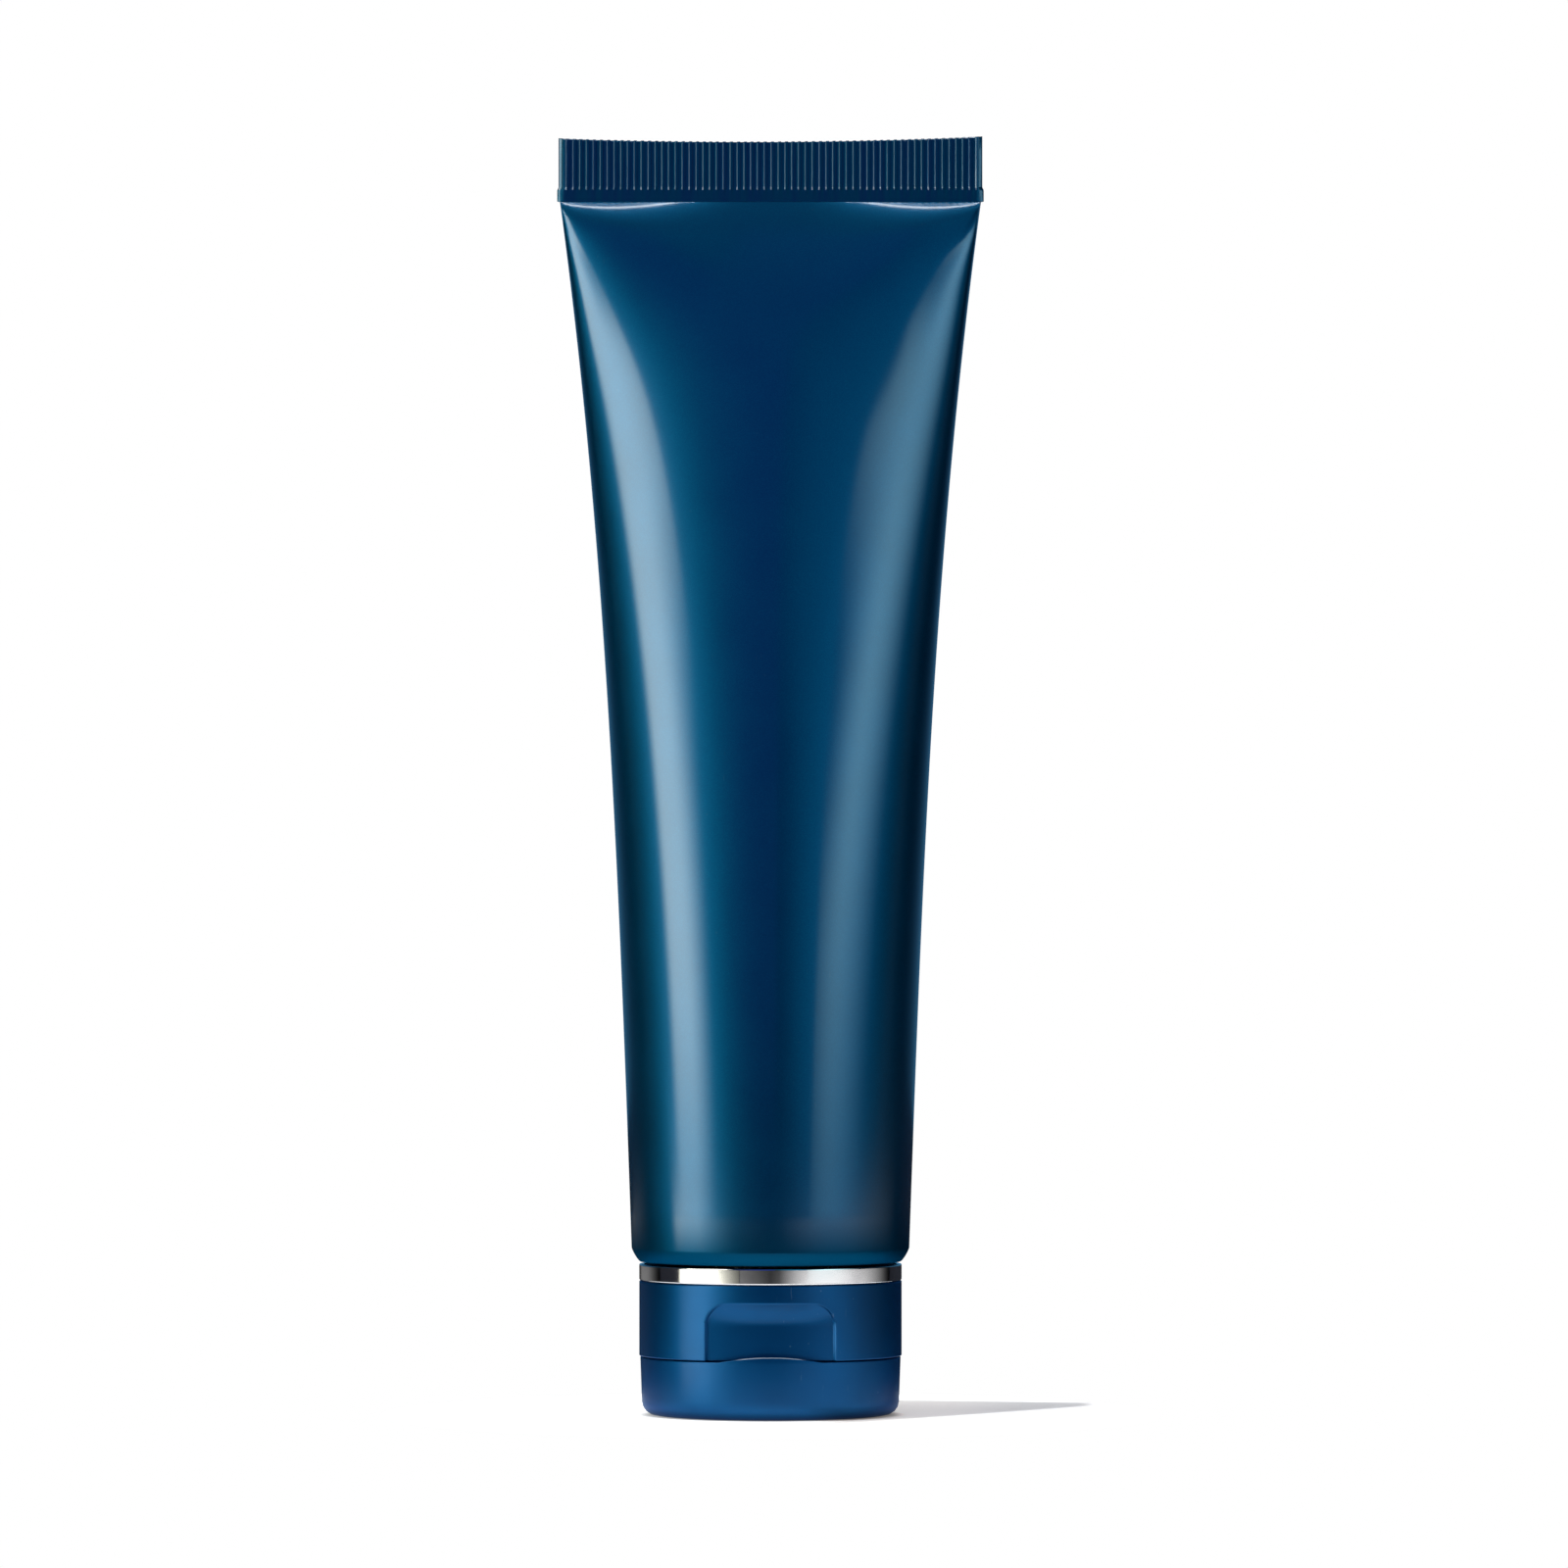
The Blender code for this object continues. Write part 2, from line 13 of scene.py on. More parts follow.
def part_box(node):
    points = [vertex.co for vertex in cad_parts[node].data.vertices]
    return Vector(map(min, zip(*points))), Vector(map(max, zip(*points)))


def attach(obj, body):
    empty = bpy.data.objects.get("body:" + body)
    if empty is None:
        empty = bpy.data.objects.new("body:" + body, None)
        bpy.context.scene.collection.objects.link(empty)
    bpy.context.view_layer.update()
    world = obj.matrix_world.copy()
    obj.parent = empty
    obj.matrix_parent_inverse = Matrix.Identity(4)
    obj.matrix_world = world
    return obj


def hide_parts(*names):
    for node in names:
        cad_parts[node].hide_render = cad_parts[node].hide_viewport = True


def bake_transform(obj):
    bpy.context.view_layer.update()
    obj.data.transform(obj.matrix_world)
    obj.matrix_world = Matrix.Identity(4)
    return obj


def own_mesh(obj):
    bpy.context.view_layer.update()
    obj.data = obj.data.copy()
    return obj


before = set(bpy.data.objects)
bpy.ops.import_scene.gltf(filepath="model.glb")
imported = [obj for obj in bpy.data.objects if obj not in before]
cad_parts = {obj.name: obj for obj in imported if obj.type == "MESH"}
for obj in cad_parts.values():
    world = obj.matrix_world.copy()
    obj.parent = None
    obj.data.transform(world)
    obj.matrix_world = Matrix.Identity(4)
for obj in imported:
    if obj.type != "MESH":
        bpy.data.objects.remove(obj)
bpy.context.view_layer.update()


# Tube sleeve
# A thin plastic sleeve, lacquered in metallic blue under a clear satin varnish. Its foot is turned in over
# the shoulder. Its top is pressed flat between heated jaws, which leave a plain land and a strip of flutes.

mm = 0.001
merge_distance = 2e-6
sleeve_low, sleeve_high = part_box("tube_sleeve")
foot_z = sleeve_low.z
foot_radius = sleeve_high.y
seal_top_z = sleeve_high.z
seal_half_width = sleeve_high.x
film = 0.5 * mm
foot_corner = 2.0 * mm
foot_turn_in = 1.2 * mm
foot_bluntness = 1.25
foot_opening = 16.5 * mm
varnish_edge = 1.6 * mm
varnish_fade = 6.5 * mm
pressed_varnish = 0.8
flare_evenness = 0.51
fullness_power = 0.5
closing_trim = 0.9945
hollow_onset = 0.8
hollow_half_width = 0.06
hollow_reach = 0.8
corner_squareness = 6
square_onset = 30
strip_onset = 6
strip_ramp = 4.0
seal_half_thickness = 0.45 * mm
land_height = 1.65 * mm
land_overhang = 0.4 * mm
flute_strip_height = 7.85 * mm
flute_draw_in = 0.2 * mm
flute_depth = 0.125 * mm
flute_count = 62
flute_profile = ((0.0, 0), (0.14, 1), (0.32, 1), (0.50, 1), (0.53, 0), (0.69, 0), (0.85, 0))
flute_sway = 0.06
sway_step = 7.3
flute_columns = len(flute_profile)
flute_runout = 0.6 * mm
# The faint share of the painted highlight on each lit flute flank; some lower ends get it in full.
flank_glint = 0.2
top_edge_sag = 0.6 * mm
top_edge_slant = 0.28 * mm
top_edge_scallop = 0.08 * mm
scallop_fade = 8
top_edge_rows = ((1.0, 3.0), (1.0, 0.15), (0.8, 0.05), (0.5, 0.01), (0.0, 0.0))
fused_height = 2.3 * mm
land_step = 0.1 * mm
sleeve_rows = 44
inner_rows = 10
foot_rows = 14
inner_foot_rows = 6
runout_rows = 4

flute_z = seal_top_z - flute_strip_height
land_z = flute_z - land_height
taper_z = foot_z + foot_corner
taper_length = land_z - taper_z


def flute(across):
    """Moves an even place across the strip, -1 to 1, onto the nearest edge of a flute.

    It returns that place and its height. A flute is a slanted flank, a flat crest, a steep flank and a flat
    valley, and the flutes are a little uneven.
    """
    column = round((across + 1) / 2 * flute_count * flute_columns)
    number, edge = divmod(column, flute_columns)
    phase, height = flute_profile[edge]
    sway = flute_sway * sin(sway_step * number) if 0 < number < flute_count else 0
    return 2 * (number + phase + sway) / flute_count - 1, height


def smooth_share(share):
    held = max(0.0, min(1.0, share))
    return held * held * (3 - 2 * held)


def oval(half_width, half_depth, z, strip=0.0, spread=0.0, ripple=0.0, top_share=0.0, middle=None, power=2.0):
    """One level of a flattened tube: place(across, face) puts a point of its front (-1) or back (+1) face.

    strip squares the oval towards a pressed strip, and spread slides the points from even angles to even
    widths. middle is the half depth of a shallow hollow down the middle of each face, and power makes the
    corners of the oval squarer.
    """

    def place(across, face):
        across, height = flute(across)
        reach = (1 - spread) * sin(across * pi / 2) + spread * across
        bulge = max(0.0, 1 - abs(reach) ** power) ** (1 / power)
        full = half_depth
        if middle is not None:
            side = smooth_share((abs(reach) - hollow_half_width) / hollow_reach)
            full = middle + (half_depth - middle) * side
        depth = full * bulge + strip * (min(1.0, strip_ramp * bulge) - bulge)
        wave = flute_depth * (0.5 - height)
        drop = top_edge_sag * (1 - reach**2) + top_edge_slant * (1 - reach) / 2
        drop += top_edge_scallop * (1 - height) * (1 - reach**scallop_fade)
        return half_width * reach, face * depth + ripple * wave, z - top_share * drop

    return place


def circle(radius, z):
    return oval(radius, radius, z)


def fullness(share):
    """Half depth as a share of the foot's: it closes ever faster towards the land, and is cut off there."""
    rest = (1 - closing_trim**2) ** fullness_power
    return ((1 - (closing_trim * share) ** 2) ** fullness_power - rest) / (1 - rest)


def hollow_fullness(share):
    """Fullness down the middle of a face.

    Past hollow_onset it closes on a parabola, which keeps the slope low.
    """
    if share < hollow_onset:
        return fullness(share)
    start = fullness(hollow_onset)
    span = 1 - hollow_onset
    step = 0.001
    slope = (fullness(hollow_onset - step) - start) / step * span / start
    along = (share - hollow_onset) / span
    return start * (1 - slope * along - (1 - slope) * along**2)


def sleeve_level(share, inset=0.0):
    """The sleeve from its round foot (0) to the land (1): it widens almost evenly and closes fast."""
    end_half_depth = seal_half_thickness + film / 2
    end_half_width = seal_half_width - land_overhang
    flare = flare_evenness * share + (1 - flare_evenness) * share**3
    half_width = foot_radius + (end_half_width - foot_radius) * flare - inset
    depth_gain = foot_radius - end_half_depth
    half_depth = end_half_depth + depth_gain * fullness(share) - inset
    middle = end_half_depth + depth_gain * hollow_fullness(share) - inset
    strip = end_half_depth * share**strip_onset
    z = taper_z + taper_length * share
    power = 2 + corner_squareness * share**square_onset
    return oval(half_width, half_depth, z, strip, spread=share**2, middle=middle, power=power)


def foot_level(share, inset=0.0):
    """The turned-in edge of the foot, from the end of its bend (0) to the start of the taper (1)."""
    angle = pi / 2 * share
    inward = foot_turn_in * (1 - sin(angle) ** (2 / foot_bluntness))
    down = foot_corner * cos(angle) ** (2 / foot_bluntness)
    return circle(foot_radius - inward - inset, taper_z - down + inset * (1 - share))


def wrap(levels, columns):
    """Rolls a flat grid into a tube through the levels; a level without depth closes an end."""
    bm = bmesh.new()
    last = len(levels) - 1
    bmesh.ops.create_grid(bm, x_segments=columns, y_segments=last, size=0.5)
    for vert in bm.verts:
        lap = 4 * vert.co.x + 2
        level = levels[round((vert.co.y + 0.5) * last)]
        vert.co = level(lap - 1, -1) if lap <= 2 else level(3 - lap, 1)
    bmesh.ops.remove_doubles(bm, verts=bm.verts, dist=merge_distance)
    return bm


def seal_level(z, half_thickness, ripple, draw_in):
    """The pressed strip above the sleeve; its top edge sags and slants a little, as it was trimmed."""
    top_share = max(0.0, (z - flute_z) / flute_strip_height)
    half_width = seal_half_width - draw_in
    return oval(half_width, half_thickness, z, half_thickness, 1.0, ripple, top_share)


def piece(name, bm, finish=None, crease=40):
    """A smooth-shaded mesh object; edges that bend by more than crease degrees stay sharp."""
    bmesh.ops.recalc_face_normals(bm, faces=bm.faces)
    mesh = bpy.data.meshes.new(name)
    bm.to_mesh(mesh)
    bm.free()
    mesh.shade_smooth()
    mesh.set_sharp_from_angle(angle=radians(crease))
    if finish:
        mesh.materials.append(finish)
    made = bpy.data.objects.new(name, mesh)
    bpy.context.collection.objects.link(made)
    return made


def add_node(tree, kind, inputs=None, **settings):
    """A shader node; each input is a plain value or the output socket that feeds it."""
    made = tree.nodes.new(kind)
    for setting, value in settings.items():
        setattr(made, setting, value)
    for socket, value in (inputs or {}).items():
        if isinstance(value, bpy.types.NodeSocket):
            tree.links.new(value, made.inputs[socket])
        else:
            made.inputs[socket].default_value = value
    return made


def math_node(tree, operation, *values):
    return add_node(tree, "ShaderNodeMath", dict(enumerate(values)), operation=operation).outputs[0]


def noise(tree, size, detail=2.0, stretch=(1, 1, 1)):
    """Noise whose lumps are about size metres across, on the piece's own coordinates."""
    place = add_node(tree, "ShaderNodeTexCoord").outputs["Object"]
    scaled = add_node(tree, "ShaderNodeMapping", {"Vector": place, "Scale": stretch}).outputs[0]
    inputs = {"Vector": scaled, "Scale": 1 / size, "Detail": detail}
    return add_node(tree, "ShaderNodeTexNoise", inputs).outputs["Fac"]


def remap(tree, value, from_low, from_high, to_low=0.0, to_high=1.0, shape="SMOOTHSTEP"):
    inputs = {0: value, 1: from_low, 2: from_high, 3: to_low, 4: to_high}
    return add_node(tree, "ShaderNodeMapRange", inputs, interpolation_type=shape).outputs[0]


def effect_group(name, inputs, outputs):
    """An empty shader node group with value inputs and outputs; returns its tree and its two ends."""
    tree = bpy.data.node_groups.new(name, "ShaderNodeTree")
    for socket, value in inputs.items():
        made = tree.interface.new_socket(socket, in_out="INPUT", socket_type="NodeSocketFloat")
        made.default_value = value
    for socket in outputs:
        tree.interface.new_socket(socket, in_out="OUTPUT", socket_type="NodeSocketFloat")
    return tree, tree.nodes.new("NodeGroupInput"), tree.nodes.new("NodeGroupOutput")


def make_satin_group():
    """Cloudy gloss and a fine grain, as on varnish and on plastic from an etched mould."""
    cloud_size = 9 * mm
    grain_size = 0.22 * mm
    inputs = {"Roughness": 0.35, "Spread": 0.1}
    tree, given, made = effect_group("satin_surface", inputs, ("Roughness", "Grain"))
    clouds = math_node(tree, "SUBTRACT", noise(tree, cloud_size, 3.0), 0.5)
    swing = math_node(tree, "MULTIPLY", clouds, given.outputs["Spread"])
    tree.links.new(math_node(tree, "ADD", given.outputs["Roughness"], swing), made.inputs["Roughness"])
    tree.links.new(noise(tree, grain_size, 3.0), made.inputs["Grain"])
    return tree


def make_marks_group():
    """Light traces of handling: a few short hairlines and specks of dust."""
    hairline_size = 0.35 * mm
    hairline_stretch = (1.0, 1.0, 0.15)
    patch_size = 14 * mm
    speck_spacing = 3.5 * mm
    tree, given, made = effect_group("handling_marks", {"Amount": 0.5}, ("Marks",))
    lines = noise(tree, hairline_size, 1.0, hairline_stretch)
    patches = remap(tree, noise(tree, patch_size), 0.52, 0.62)
    hairlines = math_node(tree, "MULTIPLY", remap(tree, lines, 0.72, 0.80), patches)
    place = add_node(tree, "ShaderNodeTexCoord").outputs["Object"]
    inputs = {"Vector": place, "Scale": 1 / speck_spacing}
    cells = add_node(tree, "ShaderNodeTexVoronoi", inputs).outputs["Distance"]
    specks = remap(tree, cells, 0.05, 0.03)
    both = math_node(tree, "MAXIMUM", hairlines, specks)
    tree.links.new(math_node(tree, "MULTIPLY", both, given.outputs["Amount"]), made.inputs["Marks"])
    return tree


satin_group = make_satin_group()
marks_group = make_marks_group()


def new_material(name, **constants):
    """A Principled material with its plain values set; returns it with its tree and its shader."""
    made = bpy.data.materials.new(name)
    made.use_nodes = True
    shader = made.node_tree.nodes["Principled BSDF"]
    for socket, value in constants.items():
        shader.inputs[socket.replace("_", " ").title().replace("Ior", "IOR")].default_value = value
    return made, made.node_tree, shader


def place_group(tree, group, **values):
    made = add_node(tree, "ShaderNodeGroup", node_tree=group)
    for socket, value in values.items():
        made.inputs[socket].default_value = value
    return made.outputs


def mix_colour(tree, share, first, second):
    """Mixes two colours, each a plain RGB triple or a socket, by a share from 0 to 1."""
    mix = add_node(tree, "ShaderNodeMix", {"Factor": share}, data_type="RGBA")
    for socket, value in (("A", first), ("B", second)):
        target = [s for s in mix.inputs if s.name == socket and s.type == "RGBA"][0]
        if isinstance(value, bpy.types.NodeSocket):
            tree.links.new(value, target)
        else:
            target.default_value = (*value, 1.0)
    return [s for s in mix.outputs if s.type == "RGBA"][0]


def set_bump(tree, shader, height, strength, distance):
    inputs = {"Height": height, "Strength": strength, "Distance": distance}
    bump = add_node(tree, "ShaderNodeBump", inputs)
    tree.links.new(bump.outputs["Normal"], shader.inputs["Normal"])


def make_flute_glints(tree, place):
    """Painted highlights on the lit flank of each flute, faint all along and strong at the lower ends of
    some.
    """
    stripe_share = 0.18
    glint_start = 0.05 * mm
    glint_full = 0.15 * mm
    tick_full = 0.3 * mm
    tick_end = 0.7 * mm
    patch_width = 4 * mm
    along = add_node(tree, "ShaderNodeSeparateXYZ", {"Vector": place}).outputs
    pitch = 2 * (seal_half_width - flute_draw_in) / flute_count
    phase = math_node(tree, "FRACT", math_node(tree, "DIVIDE", along["X"], pitch))
    stripe = math_node(tree, "LESS_THAN", phase, stripe_share)
    onset = remap(tree, along["Z"], flute_z + glint_start, flute_z + glint_full)
    runout = remap(tree, along["Z"], flute_z + tick_end, flute_z + tick_full, flank_glint, 1.0)
    patches = noise(tree, patch_width, 2.0, stretch=(1.0, 0.0, 0.0))
    some = remap(tree, patches, 0.42, 0.62, flank_glint, 1.0)
    ends = math_node(tree, "MINIMUM", runout, some)
    return math_node(tree, "MULTIPLY", stripe, math_node(tree, "MULTIPLY", onset, ends))


def make_lacquer():
    """Metallic blue: dark and light flakes under varnish, duller where the jaws have pressed it. Painted
    shade darkens the turned-in foot, and painted highlights pale the lit flanks of the flutes.
    """
    blue = (0.0007, 0.069, 0.163)
    flake_blue = (0.0013, 0.104, 0.220)
    pressed_blue = (0.0010, 0.066, 0.124)
    pressed_violet = (0.0040, 0.052, 0.124)
    # Painted shade: a darker blue for the turned-in foot.
    foot_shade_blue = (0.0010, 0.050, 0.112)
    mark_grey = (0.10, 0.14, 0.18)
    # Pale colour of the painted highlights on the flutes.
    glint_white = (0.22, 0.27, 0.36)
    edge_tint = (0.35, 0.50, 0.65, 1.0)
    flake_size = 0.16 * mm
    flake_share = 0.35
    streak_size = 1.6 * mm
    streak_stretch = (1.0, 1.0, 0.04)
    press_start_z = land_z - 0.2 * mm
    press_full_z = land_z + 0.4 * mm
    made, tree, shader = new_material("lacquer", coat_roughness=0.13, coat_ior=1.5, specular_tint=edge_tint)
    satin = place_group(tree, satin_group, Roughness=0.45, Spread=0.10)
    marks = place_group(tree, marks_group, Amount=0.10)
    flakes = remap(tree, noise(tree, flake_size, 1.0), 0.42, 0.66)
    flaked = mix_colour(tree, math_node(tree, "MULTIPLY", flakes, flake_share), blue, flake_blue)
    place = add_node(tree, "ShaderNodeTexCoord").outputs["Object"]
    height = add_node(tree, "ShaderNodeSeparateXYZ", {"Vector": place}).outputs["Z"]
    pressed = remap(tree, height, press_start_z, press_full_z)
    varnish_z = foot_z + varnish_edge
    varnish = remap(tree, height, varnish_z, varnish_z + varnish_fade, shape="LINEAR")
    dulled = remap(tree, pressed, 0, 1, 1.0, pressed_varnish)
    tree.links.new(math_node(tree, "MULTIPLY", varnish, dulled), shader.inputs["Coat Weight"])
    streaks = remap(tree, noise(tree, streak_size, 2.0, streak_stretch), 0.40, 0.64)
    strip = mix_colour(tree, streaks, pressed_blue, pressed_violet)
    # Painted shade: the colour darkens towards the turned-in foot, where the varnish fades out.
    coloured = mix_colour(tree, pressed, mix_colour(tree, varnish, foot_shade_blue, flaked), strip)
    marked = mix_colour(tree, marks["Marks"], coloured, mark_grey)
    # Painted highlights: the lit flank of each flute is paled and loses its metal.
    flute_glints = make_flute_glints(tree, place)
    tree.links.new(mix_colour(tree, flute_glints, marked, glint_white), shader.inputs["Base Color"])
    tree.links.new(math_node(tree, "SUBTRACT", 1.0, flute_glints), shader.inputs["Metallic"])
    tree.links.new(satin["Roughness"], shader.inputs["Roughness"])
    set_bump(tree, shader, satin["Grain"], strength=0.06, distance=0.02 * mm)
    return made


fused_share = 1 - fused_height / taper_length
levels = [oval(seal_half_width - land_overhang - film, 0.0, taper_z + taper_length * fused_share, 0.0, 1.0)]
levels += [sleeve_level(fused_share * cos(pi / 2 * i / inner_rows), film) for i in range(inner_rows + 1)]
levels += [foot_level(i / inner_foot_rows, film) for i in reversed(range(inner_foot_rows))]
levels += [circle(foot_opening, foot_z + film), circle(foot_opening, foot_z)]
levels += [foot_level(i / foot_rows) for i in range(foot_rows)]
levels += [sleeve_level(sin(pi / 2 * i / sleeve_rows)) for i in range(sleeve_rows + 1)]
levels += [seal_level(z, seal_half_thickness, 0, 0) for z in (land_z + land_step, flute_z)]
for step in range(1, runout_rows + 1):
    gain = sin(pi / 2 * step / runout_rows) ** 2
    z = flute_z + flute_runout * step / runout_rows
    levels.append(seal_level(z, seal_half_thickness, gain, gain * flute_draw_in))
for share, below_top in top_edge_rows:
    z = seal_top_z - below_top * mm
    levels.append(seal_level(z, seal_half_thickness * share, 1, flute_draw_in))

lacquer = make_lacquer()
sleeve = piece("sleeve", wrap(levels, 2 * flute_count * flute_columns), lacquer, crease=30)
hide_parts("tube_sleeve")
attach(sleeve, "tube")


# Shoulder and neck
# One moulding of natural polyethylene that closes the sleeve's foot, welded in under the turned-in edge.
# The screw thread on its neck carries the cap.

shoulder_low, shoulder_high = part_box("tube_shoulder")
neck_radius = 7.6 * mm
neck_bore = 5.6 * mm
neck_mouth_z = shoulder_low.z
shoulder_rim = shoulder_high.x
shoulder_top_z = shoulder_high.z
shoulder_wall = 1.6 * mm
shoulder_drop = 1.8 * mm
cone_radius = foot_opening - 0.3 * mm
neck_edge = 0.3 * mm
neck_fillet = 0.5 * mm
cone_edge = 0.4 * mm
rim_low_edge = 1.2 * mm
rim_top_edge = 0.2 * mm
thread_start_z = neck_mouth_z + 1.4 * mm
thread_pitch = 3.2 * mm
thread_turns = 2
thread_height = 0.55 * mm
thread_root = 1.3 * mm
thread_crest = 0.5 * mm
thread_sink = 0.1
turn_steps = 64


def lathe(outline, steps=256, gather=0.0):
    """Turns an outline of (radius, z, rounding) corners about the axis.

    An outline that begins on the axis stays open there. gather draws the columns together at the front.
    """
    bm = bmesh.new()
    corners = [bm.verts.new((0, -radius, z)) for radius, z, rounding in outline]
    ends = corners[1:] + corners[:1] if outline[0][0] else corners[1:]
    for corner, following in zip(corners, ends):
        bm.edges.new((corner, following))
    for corner, (radius, z, rounding) in zip(corners, outline):
        if rounding:
            bmesh.ops.bevel(
                bm, geom=[corner], offset=rounding, affect="VERTICES", segments=4, profile=0.5, material=-1
            )
    blank = piece("outline", bm)
    screw = blank.modifiers.new("turn", "SCREW")
    screw.steps = steps
    screw.render_steps = steps
    screw.use_merge_vertices = True
    screw.merge_threshold = merge_distance
    turned = bmesh.new()
    turned.from_object(blank, bpy.context.evaluated_depsgraph_get())
    bpy.data.objects.remove(blank)
    bmesh.ops.remove_doubles(turned, verts=turned.verts, dist=merge_distance)
    for vert in turned.verts:
        radius = hypot(vert.co.x, vert.co.y)
        bearing = atan2(vert.co.x, -vert.co.y)
        bearing -= gather * sin(bearing)
        vert.co.x = radius * sin(bearing)
        vert.co.y = -radius * cos(bearing)
    return turned


def add_thread(bm, root_radius, height, low_z):
    """A screw thread's ridge on a root radius; a negative height points inwards."""
    ridge = bmesh.new()
    sunk = root_radius - thread_sink * height
    half = thread_root / 2
    tip = thread_crest / 2
    outline = [(sunk, -half), (root_radius + height, -tip), (root_radius + height, tip), (sunk, half)]
    corners = [ridge.verts.new((0, -radius, low_z + z)) for radius, z in outline]
    edges = [ridge.edges.new(pair) for pair in zip(corners, corners[1:] + corners[:1])]
    steps = turn_steps * thread_turns
    climb = Vector((0, 0, thread_pitch * thread_turns / steps))
    swept = bmesh.ops.spin(
        ridge,
        geom=corners + edges,
        axis=(0, 0, 1),
        cent=(0, 0, 0),
        dvec=climb,
        angle=-tau * thread_turns,
        steps=steps,
    )
    last_edges = [part for part in swept["geom_last"] if isinstance(part, bmesh.types.BMEdge)]
    for end in (edges, last_edges):
        bmesh.ops.contextual_create(ridge, geom=end)
    mesh = bpy.data.meshes.new("ridge")
    ridge.to_mesh(mesh)
    ridge.free()
    bm.from_mesh(mesh)
    bpy.data.meshes.remove(mesh)


def make_natural_plastic():
    """Milky, slightly see-through polyethylene."""
    milk = (0.74, 0.75, 0.72)
    shade = (0.62, 0.64, 0.62)
    depth = 1.5 * mm
    cloud_size = 6 * mm
    made, tree, shader = new_material("natural_plastic", subsurface_weight=0.25, ior=1.5)
    shader.inputs["Subsurface Radius"].default_value = (depth, depth, depth)
    shader.inputs["Subsurface Scale"].default_value = 1.0
    satin = place_group(tree, satin_group, Roughness=0.42, Spread=0.12)
    colour = mix_colour(tree, remap(tree, noise(tree, cloud_size), 0.4, 0.65), milk, shade)
    tree.links.new(colour, shader.inputs["Base Color"])
    tree.links.new(satin["Roughness"], shader.inputs["Roughness"])
    set_bump(tree, shader, satin["Grain"], strength=0.10, distance=0.02 * mm)
    return made


cone_low_z = shoulder_top_z - shoulder_wall
outline = [(neck_bore, neck_mouth_z, neck_edge), (neck_radius, neck_mouth_z, neck_edge)]
outline += [(neck_radius, cone_low_z - shoulder_drop, neck_fillet), (cone_radius, cone_low_z, cone_edge)]
outline += [(shoulder_rim, cone_low_z, rim_low_edge), (shoulder_rim, shoulder_top_z, rim_top_edge)]
outline += [(cone_radius, shoulder_top_z, cone_edge)]
outline += [(neck_bore, shoulder_top_z - shoulder_drop, cone_edge)]
neck = lathe(outline)
add_thread(neck, neck_radius, thread_height, thread_start_z)
natural_plastic = make_natural_plastic()
shoulder = piece("shoulder_and_neck", neck, natural_plastic)
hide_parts("tube_shoulder")
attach(shoulder, "tube")


# Cream
# The fill of white shaving cream, poured in before the seal is pressed. It stands in the neck behind the
# spout and fills the sleeve up to a headspace. Its surface in the neck is slightly hollow.

cream_low, cream_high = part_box("cream_fill")
cream_gap = 0.3 * mm
cream_stem = neck_bore - cream_gap
cream_floor_z = shoulder_top_z + cream_gap
cream_top_share = (cream_high.z - taper_z) / taper_length
cream_hollow = 0.5 * mm
dish_share = 0.6
cream_rows = 20
cream_columns = 128


def make_cream():
    """Dense white lather base with soft, waxy depth and a faintly whipped surface."""
    white = (0.90, 0.90, 0.87)
    shade = (0.84, 0.84, 0.80)
    depths = (2.0 * mm, 2.0 * mm, 1.8 * mm)
    whip_size = 2.5 * mm
    made, tree, shader = new_material("cream", subsurface_weight=0.5, ior=1.4)
    shader.inputs["Subsurface Radius"].default_value = depths
    shader.inputs["Subsurface Scale"].default_value = 1.0
    satin = place_group(tree, satin_group, Roughness=0.45, Spread=0.15)
    whip = noise(tree, whip_size, 2.0)
    tree.links.new(mix_colour(tree, whip, white, shade), shader.inputs["Base Color"])
    tree.links.new(satin["Roughness"], shader.inputs["Roughness"])
    set_bump(tree, shader, whip, strength=0.5, distance=0.2 * mm)
    return made


levels = [circle(0.0, cream_low.z + cream_hollow)]
levels += [circle(dish_share * cream_stem, cream_low.z + dish_share * cream_hollow)]
levels += [circle(cream_stem, cream_low.z), circle(cream_stem, cream_floor_z - shoulder_drop)]
levels += [circle(cone_radius, cream_floor_z)]
for row in range(1, cream_rows + 1):
    levels.append(sleeve_level(cream_top_share * sin(pi / 2 * row / cream_rows), film + cream_gap))
levels += [oval(0.0, 0.0, cream_high.z)]
cream = piece("cream", wrap(levels, cream_columns), make_cream())
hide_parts("cream_fill")
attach(cream, "tube")


# Chrome band
# A plated plastic ring, pushed down over the cap's spigot until it sits on the step of the skirt.
# Both outer edges are slightly rounded, and the plating is close to a mirror.

band_low, band_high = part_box("chrome_band")
band_radius = band_high.x
band_wall = 0.7 * mm
band_edge = 0.25 * mm
band_top_edge = 0.12 * mm
band_seat_z = band_low.z - 0.3 * mm
seam = 0.08 * mm
band_foot_z = band_seat_z + seam
row_past_edge = 1.4
band_columns = 384


def make_chrome():
    """Bright plating with faint haze and a few hairlines."""
    bright = (0.88, 0.87, 0.88)
    hazed = (0.80, 0.79, 0.81)
    haze_size = 5 * mm
    ripple_size = 1.6 * mm
    made, tree, shader = new_material("chrome", metallic=1.0)
    satin = place_group(tree, satin_group, Roughness=0.07, Spread=0.05)
    marks = place_group(tree, marks_group, Amount=0.25)
    colour = mix_colour(tree, remap(tree, noise(tree, haze_size, 3.0), 0.45, 0.70), bright, hazed)
    tree.links.new(mix_colour(tree, marks["Marks"], colour, hazed), shader.inputs["Base Color"])
    tree.links.new(satin["Roughness"], shader.inputs["Roughness"])
    set_bump(tree, shader, noise(tree, ripple_size, 1.0), strength=0.05, distance=0.02 * mm)
    return made


